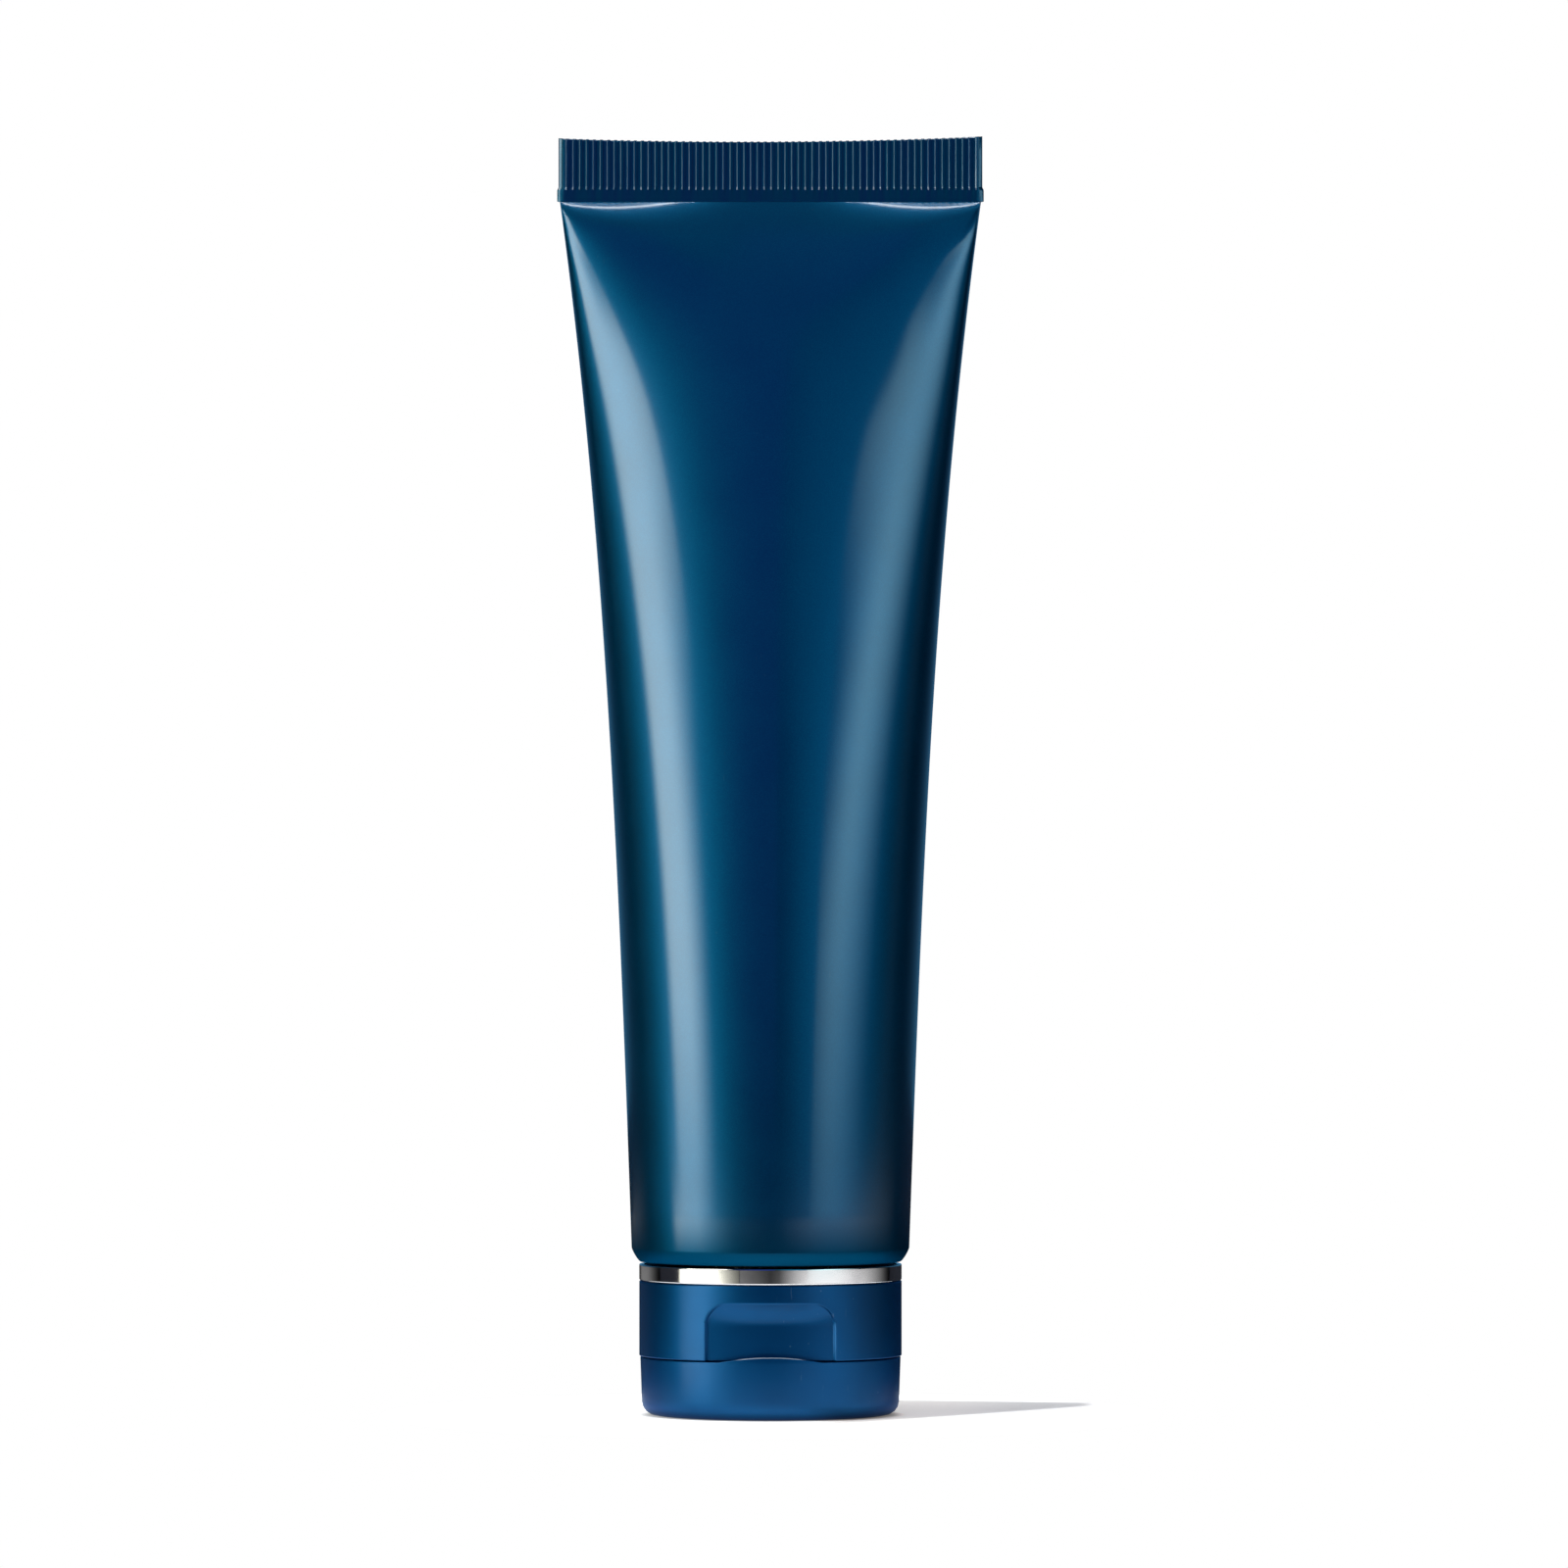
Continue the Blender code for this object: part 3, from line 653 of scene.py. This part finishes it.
outline = [(band_radius - band_wall, band_high.z, 0), (band_radius, band_high.z, band_top_edge)]
outline += [(band_radius, band_high.z - row_past_edge * band_top_edge, 0)]
outline += [(band_radius, band_foot_z + row_past_edge * band_edge, 0)]
outline += [(band_radius, band_foot_z, band_edge), (band_radius - band_wall, band_foot_z, 0)]
band = piece("bright_band", lathe(outline, band_columns), make_chrome())
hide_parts("chrome_band")
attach(band, "band")


# Cap body
# Moulded in blue polypropylene with a satin skin: skirt, deck, spout and threaded collar are one piece.
# A thumb recess is scooped from the front of the skirt, and a flat at the back takes the living hinge.

cap_low, cap_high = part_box("cap_body")
lid_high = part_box("flip_lid")[1]
film_low, film_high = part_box("hinge_film")
strap_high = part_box("hinge_strap_left")[1]
skirt_radius = band_radius
spigot_radius = skirt_radius - band_wall - 0.3 * mm
spigot_edge = 0.1 * mm
skirt_edge = 0.15 * mm
skirt_face_radius = spigot_radius + 0.1 * mm
cap_inner = 17.1 * mm
cap_wall = skirt_radius - cap_inner
parting_z = (film_low.z + film_high.z) / 2
parting_gap = 0.14 * mm
cap_floor_z = parting_z + parting_gap / 2
deck_top_z = 10.3 * mm
deck_edge = 0.2 * mm
deck_fillet = 0.3 * mm
orifice_radius = 2.6 * mm
nozzle_radius = 4.1 * mm
nozzle_fillet = 0.3 * mm
nozzle_tip_edge = 0.4 * mm
orifice_edge = 0.3 * mm
collar_bore = 8.6 * mm
collar_radius = 10.0 * mm
collar_top_z = 18.0 * mm
collar_edge = 0.2 * mm
collar_thread_height = 0.5 * mm
rib_count = 8
rib_thickness = 1.0 * mm
rib_height = 4.0 * mm
rib_root = 0.5 * mm
rib_reach = 0.4 * mm
recess_half_width = 9.45 * mm
recess_top_z = 16.8 * mm
recess_depth = 1.7 * mm
recess_back_radius = 34 * mm
recess_corner = 3.4 * mm
recess_draft = 0.55 * mm
scoop_height = 3.4 * mm
hinge_flat_y = film_low.y - 0.12 * mm
hinge_pocket_reach = strap_high.z - parting_z + 1.2 * mm
cap_columns = 512
front_gather = 0.8
skirt_rows = 84
skirt_margin = 0.25 * mm


def recess_share(x, z, margin):
    """How far the recess is sunk at a place on the skirt, from 0 to 1: steep rounded sides, scooped top."""
    corner = recess_corner + margin
    beside = max(0.0, abs(x) - (recess_half_width + margin - corner))
    above = max(0.0, z - (recess_top_z + margin - corner))
    sides = smooth_share((corner - hypot(beside, above)) / recess_draft)
    rise = max(0.0, min(1.0, (z - recess_top_z - margin + scoop_height) / scoop_height))
    return min(sides, 1 - rise**2)


def sink_recess(bm):
    """Pushes the front of the skirt, and the wall behind it, back into the thumb recess."""
    for vert in bm.verts:
        x, y, z = vert.co
        radius = hypot(x, y)
        if y > 0 or radius < cap_inner - cap_wall:
            continue
        margin = 0.0 if radius > skirt_face_radius else cap_wall
        if abs(x) > recess_half_width + margin:
            continue
        skirt = sqrt(skirt_radius**2 - x * x)
        back = skirt_radius - recess_depth - recess_back_radius + sqrt(recess_back_radius**2 - x * x)
        vert.co.y = y + (skirt - back) * recess_share(x, z, margin)


def press_hinge_flat(bm):
    """Flattens the back wall near the parting line, where the living hinge crosses it."""
    for vert in bm.verts:
        if abs(vert.co.z - parting_z) < hinge_pocket_reach:
            vert.co.y = min(vert.co.y, hinge_flat_y)


def add_ribs(bm):
    """Webs from the collar out to the skirt, standing on the deck."""
    inner = collar_radius - rib_root
    outer = cap_inner + rib_reach
    size = (outer - inner, rib_thickness, rib_height + rib_root)
    middle = ((outer + inner) / 2, 0, deck_top_z + rib_height / 2 - rib_root / 2)
    for i in range(rib_count):
        web = bmesh.ops.create_cube(bm, size=1)["verts"]
        bmesh.ops.scale(bm, vec=size, verts=web)
        bmesh.ops.translate(bm, vec=middle, verts=web)
        turn = Matrix.Rotation(tau * (i + 0.5) / rib_count, 3, "Z")
        bmesh.ops.rotate(bm, cent=(0, 0, 0), matrix=turn, verts=web)


def make_cap_plastic(name, painted_highlight=None):
    """Royal blue polypropylene with a satin, faintly grained skin.

    Its last argument, if given, makes the mask of a painted highlight on it.
    """
    blue = (0.0008, 0.061, 0.180)
    deep_blue = (0.0007, 0.054, 0.162)
    mark_blue = (0.16, 0.24, 0.36)
    # Pale blue of the painted highlight on the lip's crest.
    highlight_blue = (0.50, 0.56, 0.68)
    edge_tint = (0.30, 0.45, 0.70, 1.0)
    sheen = 0.95
    cloud_size = 8 * mm
    made, tree, shader = new_material(
        name, metallic=sheen, coat_weight=0.17, coat_roughness=0.20, coat_ior=1.5, specular_tint=edge_tint
    )
    satin = place_group(tree, satin_group, Roughness=0.43, Spread=0.08)
    marks = place_group(tree, marks_group, Amount=0.18)
    colour = mix_colour(tree, remap(tree, noise(tree, cloud_size, 2.0), 0.35, 0.7), blue, deep_blue)
    colour = mix_colour(tree, marks["Marks"], colour, mark_blue)
    # A painted highlight: where its mask is given, the colour is paled and the metal taken away.
    if painted_highlight:
        highlight_share = painted_highlight(tree)
        colour = mix_colour(tree, highlight_share, colour, highlight_blue)
        tree.links.new(remap(tree, highlight_share, 0, 1, sheen, 0.0), shader.inputs["Metallic"])
    tree.links.new(colour, shader.inputs["Base Color"])
    tree.links.new(satin["Roughness"], shader.inputs["Roughness"])
    set_bump(tree, shader, satin["Grain"], strength=0.18, distance=0.03 * mm)
    return made


wall_low_z = cap_floor_z + skirt_margin
wall_high_z = band_seat_z - skirt_margin
wall = [wall_low_z + (wall_high_z - wall_low_z) * i / skirt_rows for i in range(skirt_rows + 1)]
outline = [(spigot_radius, cap_high.z, spigot_edge), (spigot_radius, band_seat_z, 0)]
outline += [(skirt_radius, band_seat_z, skirt_edge)]
outline += [(skirt_radius, z, 0) for z in reversed(wall)]
outline += [(skirt_radius, cap_floor_z, skirt_edge)]
outline += [(nozzle_radius, cap_floor_z, nozzle_fillet), (nozzle_radius, cap_low.z, nozzle_tip_edge)]
outline += [(orifice_radius, cap_low.z, orifice_edge), (orifice_radius, deck_top_z, deck_edge)]
outline += [(collar_bore, deck_top_z, deck_edge), (collar_bore, collar_top_z, collar_edge)]
outline += [(collar_radius, collar_top_z, collar_edge), (collar_radius, deck_top_z, deck_fillet)]
outline += [(cap_inner, deck_top_z, deck_fillet), (cap_inner, cap_high.z, spigot_edge)]
body = lathe(outline, cap_columns, front_gather)
add_ribs(body)
sink_recess(body)
press_hinge_flat(body)
add_thread(body, collar_bore, -collar_thread_height, thread_start_z + thread_pitch / 2)
cap_plastic = make_cap_plastic("cap_plastic")
cap = piece("cap", body, cap_plastic)
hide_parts("cap_body")
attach(cap, "cap")


# Flip lid
# A shallow cup of the same blue polypropylene, on whose flat base the tube stands. A hollow plug inside
# closes the spout, and a low arched lip on the front rim lets a thumb lift it.

lid_top_z = parting_z - parting_gap / 2
lid_radius = lid_high.x
lid_base_radius = lid_radius - 0.3 * mm
lid_edge = 1.9 * mm
lid_floor = 1.6 * mm
lid_fillet = 0.9 * mm
lid_rim_edge = 0.1 * mm
plug_radius = 2.2 * mm
plug_bore = 1.5 * mm
plug_tip_z = 10.0 * mm
plug_bore_edge = 0.2 * mm
plug_tip_edge = 0.4 * mm
plug_fillet = 0.5 * mm
gate_radius = 1.2 * mm
gate_depth = 0.2 * mm
gate_edge = 0.1 * mm
base_row = 0.4 * mm
side_margin = 0.5 * mm
lip_half_width = 7.3 * mm
lip_rise = 0.70 * mm
lip_inner = cap_inner + 0.55 * mm
lip_outer = lid_radius
lip_shoulder = 0.12 * mm
lip_edge = 0.15 * mm
# How far below the top of the lip's crest the painted highlight begins.
lip_highlight_depth = 0.13 * mm
lid_rows = 24
tolerance = 1e-6


def make_lip_highlight(tree):
    """A painted highlight along the crest of the lip; it fades towards the ends of the arch."""
    highlight_back_y = -15 * mm
    highlight_front_y = -16 * mm
    highlight_softness = 0.8 * lip_highlight_depth
    place = add_node(tree, "ShaderNodeTexCoord").outputs["Object"]
    along = add_node(tree, "ShaderNodeSeparateXYZ", {"Vector": place}).outputs
    out = math_node(tree, "DIVIDE", along["X"], lip_half_width)
    arch = math_node(tree, "SUBTRACT", 1.0, math_node(tree, "MULTIPLY", out, out))
    crest_z = math_node(tree, "MULTIPLY_ADD", arch, lip_rise, lid_top_z - lip_highlight_depth)
    crest = remap(tree, math_node(tree, "SUBTRACT", along["Z"], crest_z), 0.0, highlight_softness)
    near_middle = remap(tree, arch, 0.45, 0.80)
    at_front = remap(tree, along["Y"], highlight_back_y, highlight_front_y)
    middle = math_node(tree, "MULTIPLY", near_middle, at_front)
    return math_node(tree, "MULTIPLY", crest, middle)


def raise_lip(bm):
    """Lifts the middle of the front rim into a low arch."""
    for vert in bm.verts:
        x, y, z = vert.co
        on_lip = lip_inner - tolerance < hypot(x, y) < lip_outer + tolerance
        if y < 0 and on_lip and z > lid_top_z - lip_edge - tolerance:
            vert.co.z += lip_rise * max(0.0, 1 - (x / lip_half_width) ** 2)


outline = [(0, lid_floor, 0), (plug_bore, lid_floor, plug_bore_edge), (plug_bore, plug_tip_z, plug_bore_edge)]
outline += [(plug_radius, plug_tip_z, plug_tip_edge), (plug_radius, lid_floor, plug_fillet)]
outline += [(cap_inner, lid_floor, lid_fillet), (cap_inner, lid_top_z, lid_rim_edge)]
outline += [(lip_inner - lip_shoulder, lid_top_z, 0), (lip_inner, lid_top_z, 0)]
outline += [(lip_inner + 2 * lip_shoulder, lid_top_z, 0), (lid_radius, lid_top_z, lip_edge)]
for row in range(1, lid_rows):
    down = row / lid_rows
    z = lid_top_z - (lid_top_z - lid_edge - side_margin) * down
    outline.append((lid_radius + (lid_base_radius - lid_radius) * (lid_top_z - z) / lid_top_z, z, 0))
outline += [(lid_base_radius, 0, lid_edge), (lid_base_radius - lid_edge - base_row, 0, 0)]
outline += [(gate_radius + base_row, 0, 0), (gate_radius, 0, gate_edge)]
outline += [(gate_radius, gate_depth, 0), (0, gate_depth, 0)]
cup = lathe(outline, cap_columns, front_gather)
raise_lip(cup)
press_hinge_flat(cup)
lid = piece("lid", cup, make_cap_plastic("lid_plastic", make_lip_highlight))
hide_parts("flip_lid")
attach(lid, "lid")


# Living hinge
# A thin film and two waisted snap straps, moulded in one with the cap and the lid across the flat at the
# back.

hinge_y = (film_low.y + film_high.y) / 2
hinge_rows = 28
hinge_columns = 8
hinge_foot_sink = 0.05 * mm
thickening_rate = 1.5
bend_share = 0.35
film_waist = film_high.x - film_low.x
film_thickness = 0.2 * mm
strap_waist = 1.3 * mm
strap_thickness = 0.4 * mm


def hinge_strip(name, low, high, waist_width, waist_thickness):
    """A strip across the parting line, narrowed to its waist, whose ends run into the hinge flat."""
    bm = bmesh.new()
    upright = Matrix.Rotation(pi / 2, 4, "X")
    bmesh.ops.create_grid(bm, x_segments=hinge_columns, y_segments=hinge_rows, size=0.5, matrix=upright)
    outer = bmesh.ops.extrude_face_region(bm, geom=bm.faces[:])["geom"]
    outer_verts = [part for part in outer if isinstance(part, bmesh.types.BMVert)]
    bmesh.ops.translate(bm, vec=(0, 1, 0), verts=outer_verts)
    middle = (low + high) / 2
    width = high.x - low.x
    thickness = high.y - low.y
    reach = high.z - low.z
    for vert in bm.verts:
        out = abs(2 * vert.co.z)
        narrow = waist_width + (width - waist_width) * smooth_share(out)
        thin = waist_thickness + (thickness - waist_thickness) * smooth_share(thickening_rate * out)
        last_quarter = 4 * out - 3
        foot = (film_low.y - hinge_flat_y + hinge_foot_sink) * smooth_share(last_quarter)
        is_outer = vert.co.y > 0.5
        y = middle.y + thin / 2 if is_outer else middle.y - thin / 2 - foot
        vert.co = (middle.x + narrow * vert.co.x, y, middle.z + reach * vert.co.z)
    strip = piece(name, bm, cap_plastic)
    bend_reach = bend_share * reach
    start = (middle.x, hinge_y, parting_z + bend_reach)
    end = (middle.x, hinge_y, parting_z - bend_reach)
    return strip, start, end


for name, node, waist_width, waist_thickness in (
    ("film_hinge", "hinge_film", film_waist, film_thickness),
    ("strap_left", "hinge_strap_left", strap_waist, strap_thickness),
    ("strap_right", "hinge_strap_right", strap_waist, strap_thickness),
):
    strip, start, end = hinge_strip(name, *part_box(node), waist_width, waist_thickness)
    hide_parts(node)
    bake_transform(strip)


# Floor and background
# A small round white table top in front of a white background. It glows to plain white, except in a painted
# shadow to the right of the cap, where the lamps' own shade shows through, and in a ring of painted shade
# where the lid meets it. It is clear from below, and goes down with the cap as that is unscrewed.

floor_radius = 0.056
floor_gap = 0.03 * mm
floor_white = 0.75
floor_glow = 1.0
shade_far_y = 41.7 * mm
shade_far_slope = 0.24
shade_near_slope = 1.24
shade_near_offset = 36 * mm
shade_tip_x = 49 * mm
shade_edge = 4 * mm
shade_start = (4 * mm, 12 * mm)
shade_darkening = (22 * mm, 42 * mm)
shade_glow = 0.44
shade_tip_glow = 0.3
shade_tint = (1.0, 0.85, 0.78)
contact_inner = 16.5 * mm
contact_outer = 20.5 * mm
contact_shade_grey = 0.25
contact_shade_dimming = 0.65
ambient = 0.4


def seen_directly(tree):
    """1 for camera, mirror and see-through rays, and 0 for the light that falls on the object."""
    path = add_node(tree, "ShaderNodeLightPath").outputs
    shown = math_node(tree, "MAXIMUM", path["Is Camera Ray"], path["Is Glossy Ray"])
    return math_node(tree, "MAXIMUM", shown, path["Is Transmission Ray"])


def make_floor():
    """White that glows, with a painted shadow wedge beside the cap and a painted shade ring where the lid
    stands.
    """
    made, tree, shader = new_material("white_floor", roughness=0.8)
    shader.inputs["Specular IOR Level"].default_value = 0.0
    place = add_node(tree, "ShaderNodeTexCoord").outputs["Object"]
    along = add_node(tree, "ShaderNodeSeparateXYZ", {"Vector": place}).outputs
    # Painted shadow: a wedge to the right of the cap, in which the glow drops and turns warm and the lamps'
    # own shade shows.
    far_line = math_node(tree, "MULTIPLY_ADD", along["X"], -shade_far_slope, shade_far_y)
    to_far = math_node(tree, "SUBTRACT", far_line, along["Y"])
    before_far = remap(tree, to_far, -shade_edge / 2, shade_edge / 2)
    near_line = math_node(tree, "MULTIPLY_ADD", along["X"], shade_near_slope, -shade_near_offset)
    past_near = math_node(tree, "SUBTRACT", along["Y"], near_line)
    behind_near = remap(tree, past_near, -shade_edge, shade_edge)
    sideways = remap(tree, along["X"], *shade_start)
    short_of_tip = remap(tree, along["X"], shade_tip_x, shade_tip_x - shade_edge)
    wedge = math_node(tree, "MULTIPLY", before_far, behind_near)
    wedge = math_node(tree, "MULTIPLY", wedge, math_node(tree, "MULTIPLY", sideways, short_of_tip))
    away = add_node(tree, "ShaderNodeVectorMath", {0: place}, operation="LENGTH").outputs["Value"]
    # Painted shade: a ring round the lid's foot where the floor is darker and glows less.
    contact = remap(tree, away, contact_outer, contact_inner)
    surface = mix_colour(tree, contact, (floor_white,) * 3, (contact_shade_grey,) * 3)
    tree.links.new(surface, shader.inputs["Base Color"])
    dimming_ends = (shade_glow - floor_glow, shade_tip_glow - floor_glow)
    dimming = remap(tree, along["X"], *shade_darkening, *dimming_ends)
    glow = math_node(tree, "MULTIPLY_ADD", wedge, dimming, floor_glow)
    glow = math_node(tree, "MULTIPLY", glow, remap(tree, contact, 0, 1, 1.0, 1.0 - contact_shade_dimming))
    tree.links.new(mix_colour(tree, wedge, (1, 1, 1), shade_tint), shader.inputs["Emission Color"])
    shown_glow = math_node(tree, "MULTIPLY", glow, seen_directly(tree))
    tree.links.new(shown_glow, shader.inputs["Emission Strength"])
    from_below = add_node(tree, "ShaderNodeNewGeometry").outputs["Backfacing"]
    clear = add_node(tree, "ShaderNodeBsdfTransparent").outputs[0]
    one_sided = add_node(tree, "ShaderNodeMixShader", {0: from_below, 1: shader.outputs[0], 2: clear})
    tree.links.new(one_sided.outputs[0], tree.nodes["Material Output"].inputs["Surface"])
    return made


bm = bmesh.new()
bmesh.ops.create_circle(bm, cap_ends=True, segments=128, radius=floor_radius)
bmesh.ops.translate(bm, vec=(0, 0, -floor_gap), verts=bm.verts)
floor = piece("floor", bm, make_floor())
if floor.data.polygons[0].normal.z < 0:
    floor.data.flip_normals()
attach(floor, "band")
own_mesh(floor)

world = bpy.data.worlds.new("white_studio")
world.use_nodes = True
bpy.context.scene.world = world
background = world.node_tree.nodes["Background"]
level = remap(world.node_tree, seen_directly(world.node_tree), 0, 1, ambient, 1.0)
world.node_tree.links.new(level, background.inputs["Strength"])
background.inputs["Color"].default_value = (1, 1, 1, 1)


# Studio light
# Tall curved scrims at the left and, dimmer, at the right light the tube, with a narrow canopy overhead and
# low cards for the cap. Blue cloths hang at the front, the right and the back. A dark drum closes the rest.

scrim_radius = 0.55
front_card_radius = 0.54
right_cloth_radius = 0.57
cloth_radius = 0.58
cloth_steps = 48
cloth_lean = (0.15, 0.25, 8)
full_height = (-0.3, -0.2)
scrim_high = 0.62
scrim_right_high = 0.3
low_lean_heights = (0.07, 0.19)
card_top = 0.0
screen_radius = 0.62
screen_low = -0.16
screen_high = 1.0
screen_grey = (0.04, 0.04, 0.052, 1)
front_high = 0.98
canopy_z = 0.8
canopy_light = 15.0
canopy_half_width = 0.3
canopy_near = -0.06
canopy_far = -0.01


def add_stage(name, bm, finish):
    """A thing of the studio that lights the tube or shades it, and that the camera doesn't see."""
    made = piece(name, bm, finish)
    made.visible_camera = False
    return made


def make_cloth(name, colour, peak, grow, fall, rise, power, lean=cloth_lean, low_lean=0):
    """Lit cloth: its light grows and fades between bearings from the camera, and grows with height.

    lean gives the heights over which the light leans towards the camera, and by how many degrees. Its foot
    leans by low_lean degrees.
    """
    made = bpy.data.materials.new(name)
    made.use_nodes = True
    tree = made.node_tree
    tree.nodes.clear()
    place = add_node(tree, "ShaderNodeTexCoord").outputs["Object"]
    along = add_node(tree, "ShaderNodeSeparateXYZ", {"Vector": place}).outputs
    forward = math_node(tree, "MULTIPLY", along["Y"], -1.0)
    sideways = math_node(tree, "ABSOLUTE", along["X"])
    head = remap(tree, along["Z"], *lean[:2], 0.0, radians(lean[2]))
    foot = remap(tree, along["Z"], *low_lean_heights, radians(low_lean), 0.0)
    turn = math_node(tree, "ADD", head, foot)
    bearing = math_node(tree, "ADD", math_node(tree, "ARCTAN2", sideways, forward), turn)
    shape = "SMOOTHSTEP" if power == 1 else "LINEAR"
    growth = math_node(tree, "POWER", remap(tree, bearing, *map(radians, grow), shape=shape), power)
    fade = remap(tree, bearing, radians(fall[0]), radians(fall[1]), peak, 0.0)
    height = remap(tree, along["Z"], *rise)
    strength = math_node(tree, "MULTIPLY", math_node(tree, "MULTIPLY", growth, fade), height)
    light = add_node(tree, "ShaderNodeEmission", {"Color": (*colour, 1), "Strength": strength})
    out = tree.nodes.new("ShaderNodeOutputMaterial")
    tree.links.new(light.outputs[0], out.inputs["Surface"])
    return made


def hang_cloth(
    name, colour, peak, side, grow, fall, heights, rise=full_height, power=1.0, radius=scrim_radius, **leans
):
    """Hangs a lit cloth round the table, at the left (1) or the right (-1), over its bearings in degrees."""
    bm = bmesh.new()
    ends = [bm.verts.new((0, -radius, z)) for z in heights]
    edge = bm.edges.new(ends)
    start = side * radians(grow[0])
    stop = side * radians(fall[1])
    to_start = Matrix.Rotation(-start, 3, "Z")
    bmesh.ops.rotate(bm, cent=(0, 0, 0), matrix=to_start, verts=ends)
    bmesh.ops.spin(
        bm, geom=[*ends, edge], axis=(0, 0, 1), cent=(0, 0, 0), angle=start - stop, steps=cloth_steps
    )
    add_stage(name, bm, make_cloth(name, colour, peak, grow, fall, rise, power, **leans))


def make_screen():
    made, tree, shader = new_material("dark_screen", roughness=1.0)
    shader.inputs["Specular IOR Level"].default_value = 0.0
    shader.inputs["Base Color"].default_value = screen_grey
    return made


left = 1
right = -1
white = (1.0, 1.0, 1.0)
left_white = (1.0, 1.0, 0.86)
right_white = (0.58, 1.0, 1.06)
front_blue = (0.05, 0.16, 1.0)
right_blue = (0.02, 0.55, 1.0)
back_blue = (0.15, 0.55, 1.0)
low = (screen_low, card_top)
tall = (0.02, front_high)
tall_rise = (0.02, 0.08)

hang_cloth(
    "scrim_left",
    left_white,
    peak=6.3,
    side=left,
    grow=(41, 62),
    fall=(73, 82),
    heights=(card_top, scrim_high),
    rise=(-0.04, 0.08),
    lean=(0.14, 0.30, 14),
)
hang_cloth(
    "scrim_right",
    right_white,
    peak=3.1,
    side=right,
    grow=(32, 58),
    fall=(56, 92),
    heights=(card_top, scrim_right_high),
    rise=(-0.06, 0.15),
    lean=(0.19, 0.32, 14),
    low_lean=11,
)
hang_cloth(
    "card_left",
    left_white,
    peak=5.0,
    side=left,
    grow=(0, 60),
    fall=(80, 88),
    heights=low,
    power=4.0,
)
hang_cloth(
    "card_right",
    white,
    peak=1.12,
    side=right,
    grow=(0, 40),
    fall=(60, 128),
    heights=low,
    rise=(-0.3, 0.02),
)
hang_cloth(
    "card_front",
    white,
    peak=0.345,
    side=left,
    grow=(-8, 44),
    fall=(26, 27),
    heights=low,
    power=1.05,
    radius=front_card_radius,
)
hang_cloth(
    "card_back_left",
    white,
    peak=0.19,
    side=left,
    grow=(112, 140),
    fall=(150, 170),
    heights=low,
)
hang_cloth(
    "cloth_front",
    front_blue,
    peak=0.34,
    side=left,
    grow=(-50, -40),
    fall=(16, 50),
    heights=tall,
    rise=tall_rise,
    radius=cloth_radius,
)
hang_cloth(
    "cloth_right",
    right_blue,
    peak=0.55,
    side=right,
    grow=(4, 26),
    fall=(38, 48),
    heights=tall,
    rise=tall_rise,
    radius=right_cloth_radius,
)
hang_cloth(
    "cloth_back",
    back_blue,
    peak=0.3,
    side=left,
    grow=(112, 158),
    fall=(245, 255),
    heights=tall,
    radius=cloth_radius,
)

canopy = bmesh.new()
bmesh.ops.create_grid(canopy, x_segments=1, y_segments=1, size=0.5)
bmesh.ops.scale(canopy, vec=(2 * canopy_half_width, canopy_far - canopy_near, 1), verts=canopy.verts)
bmesh.ops.translate(canopy, vec=(0, (canopy_far + canopy_near) / 2, canopy_z), verts=canopy.verts)
canopy_cloth = make_cloth(
    "canopy", white, canopy_light, grow=(-20, -10), fall=(190, 200), rise=(0.0, 0.1), power=1.0
)
add_stage("canopy", canopy, canopy_cloth)

drum = bmesh.new()
bmesh.ops.create_cone(
    drum,
    cap_ends=True,
    segments=64,
    radius1=screen_radius,
    radius2=screen_radius,
    depth=screen_high - screen_low,
    matrix=Matrix.Translation((0, 0, (screen_high + screen_low) / 2)),
)
screens = add_stage("dark_screens", drum, make_screen())
screens.visible_diffuse = False


# Camera
# A long lens, level with the middle of the tube and a little to the right of it.
# It looks straight ahead, with no shift and no blur.

camera_distance = 1.6
camera_height = 0.0908
camera_aside = 0.00195
lens = 255
sensor_width = 36
far_clip = 20

camera_data = bpy.data.cameras.new("camera")
camera_data.lens = lens
camera_data.sensor_width = sensor_width
camera_data.clip_end = far_clip
camera = bpy.data.objects.new("camera", camera_data)
camera.location = (camera_aside, -camera_distance, camera_height)
camera.rotation_euler = (pi / 2, 0, 0)
bpy.context.collection.objects.link(camera)
bpy.context.scene.camera = camera
bpy.context.scene.view_settings.view_transform = "Standard"
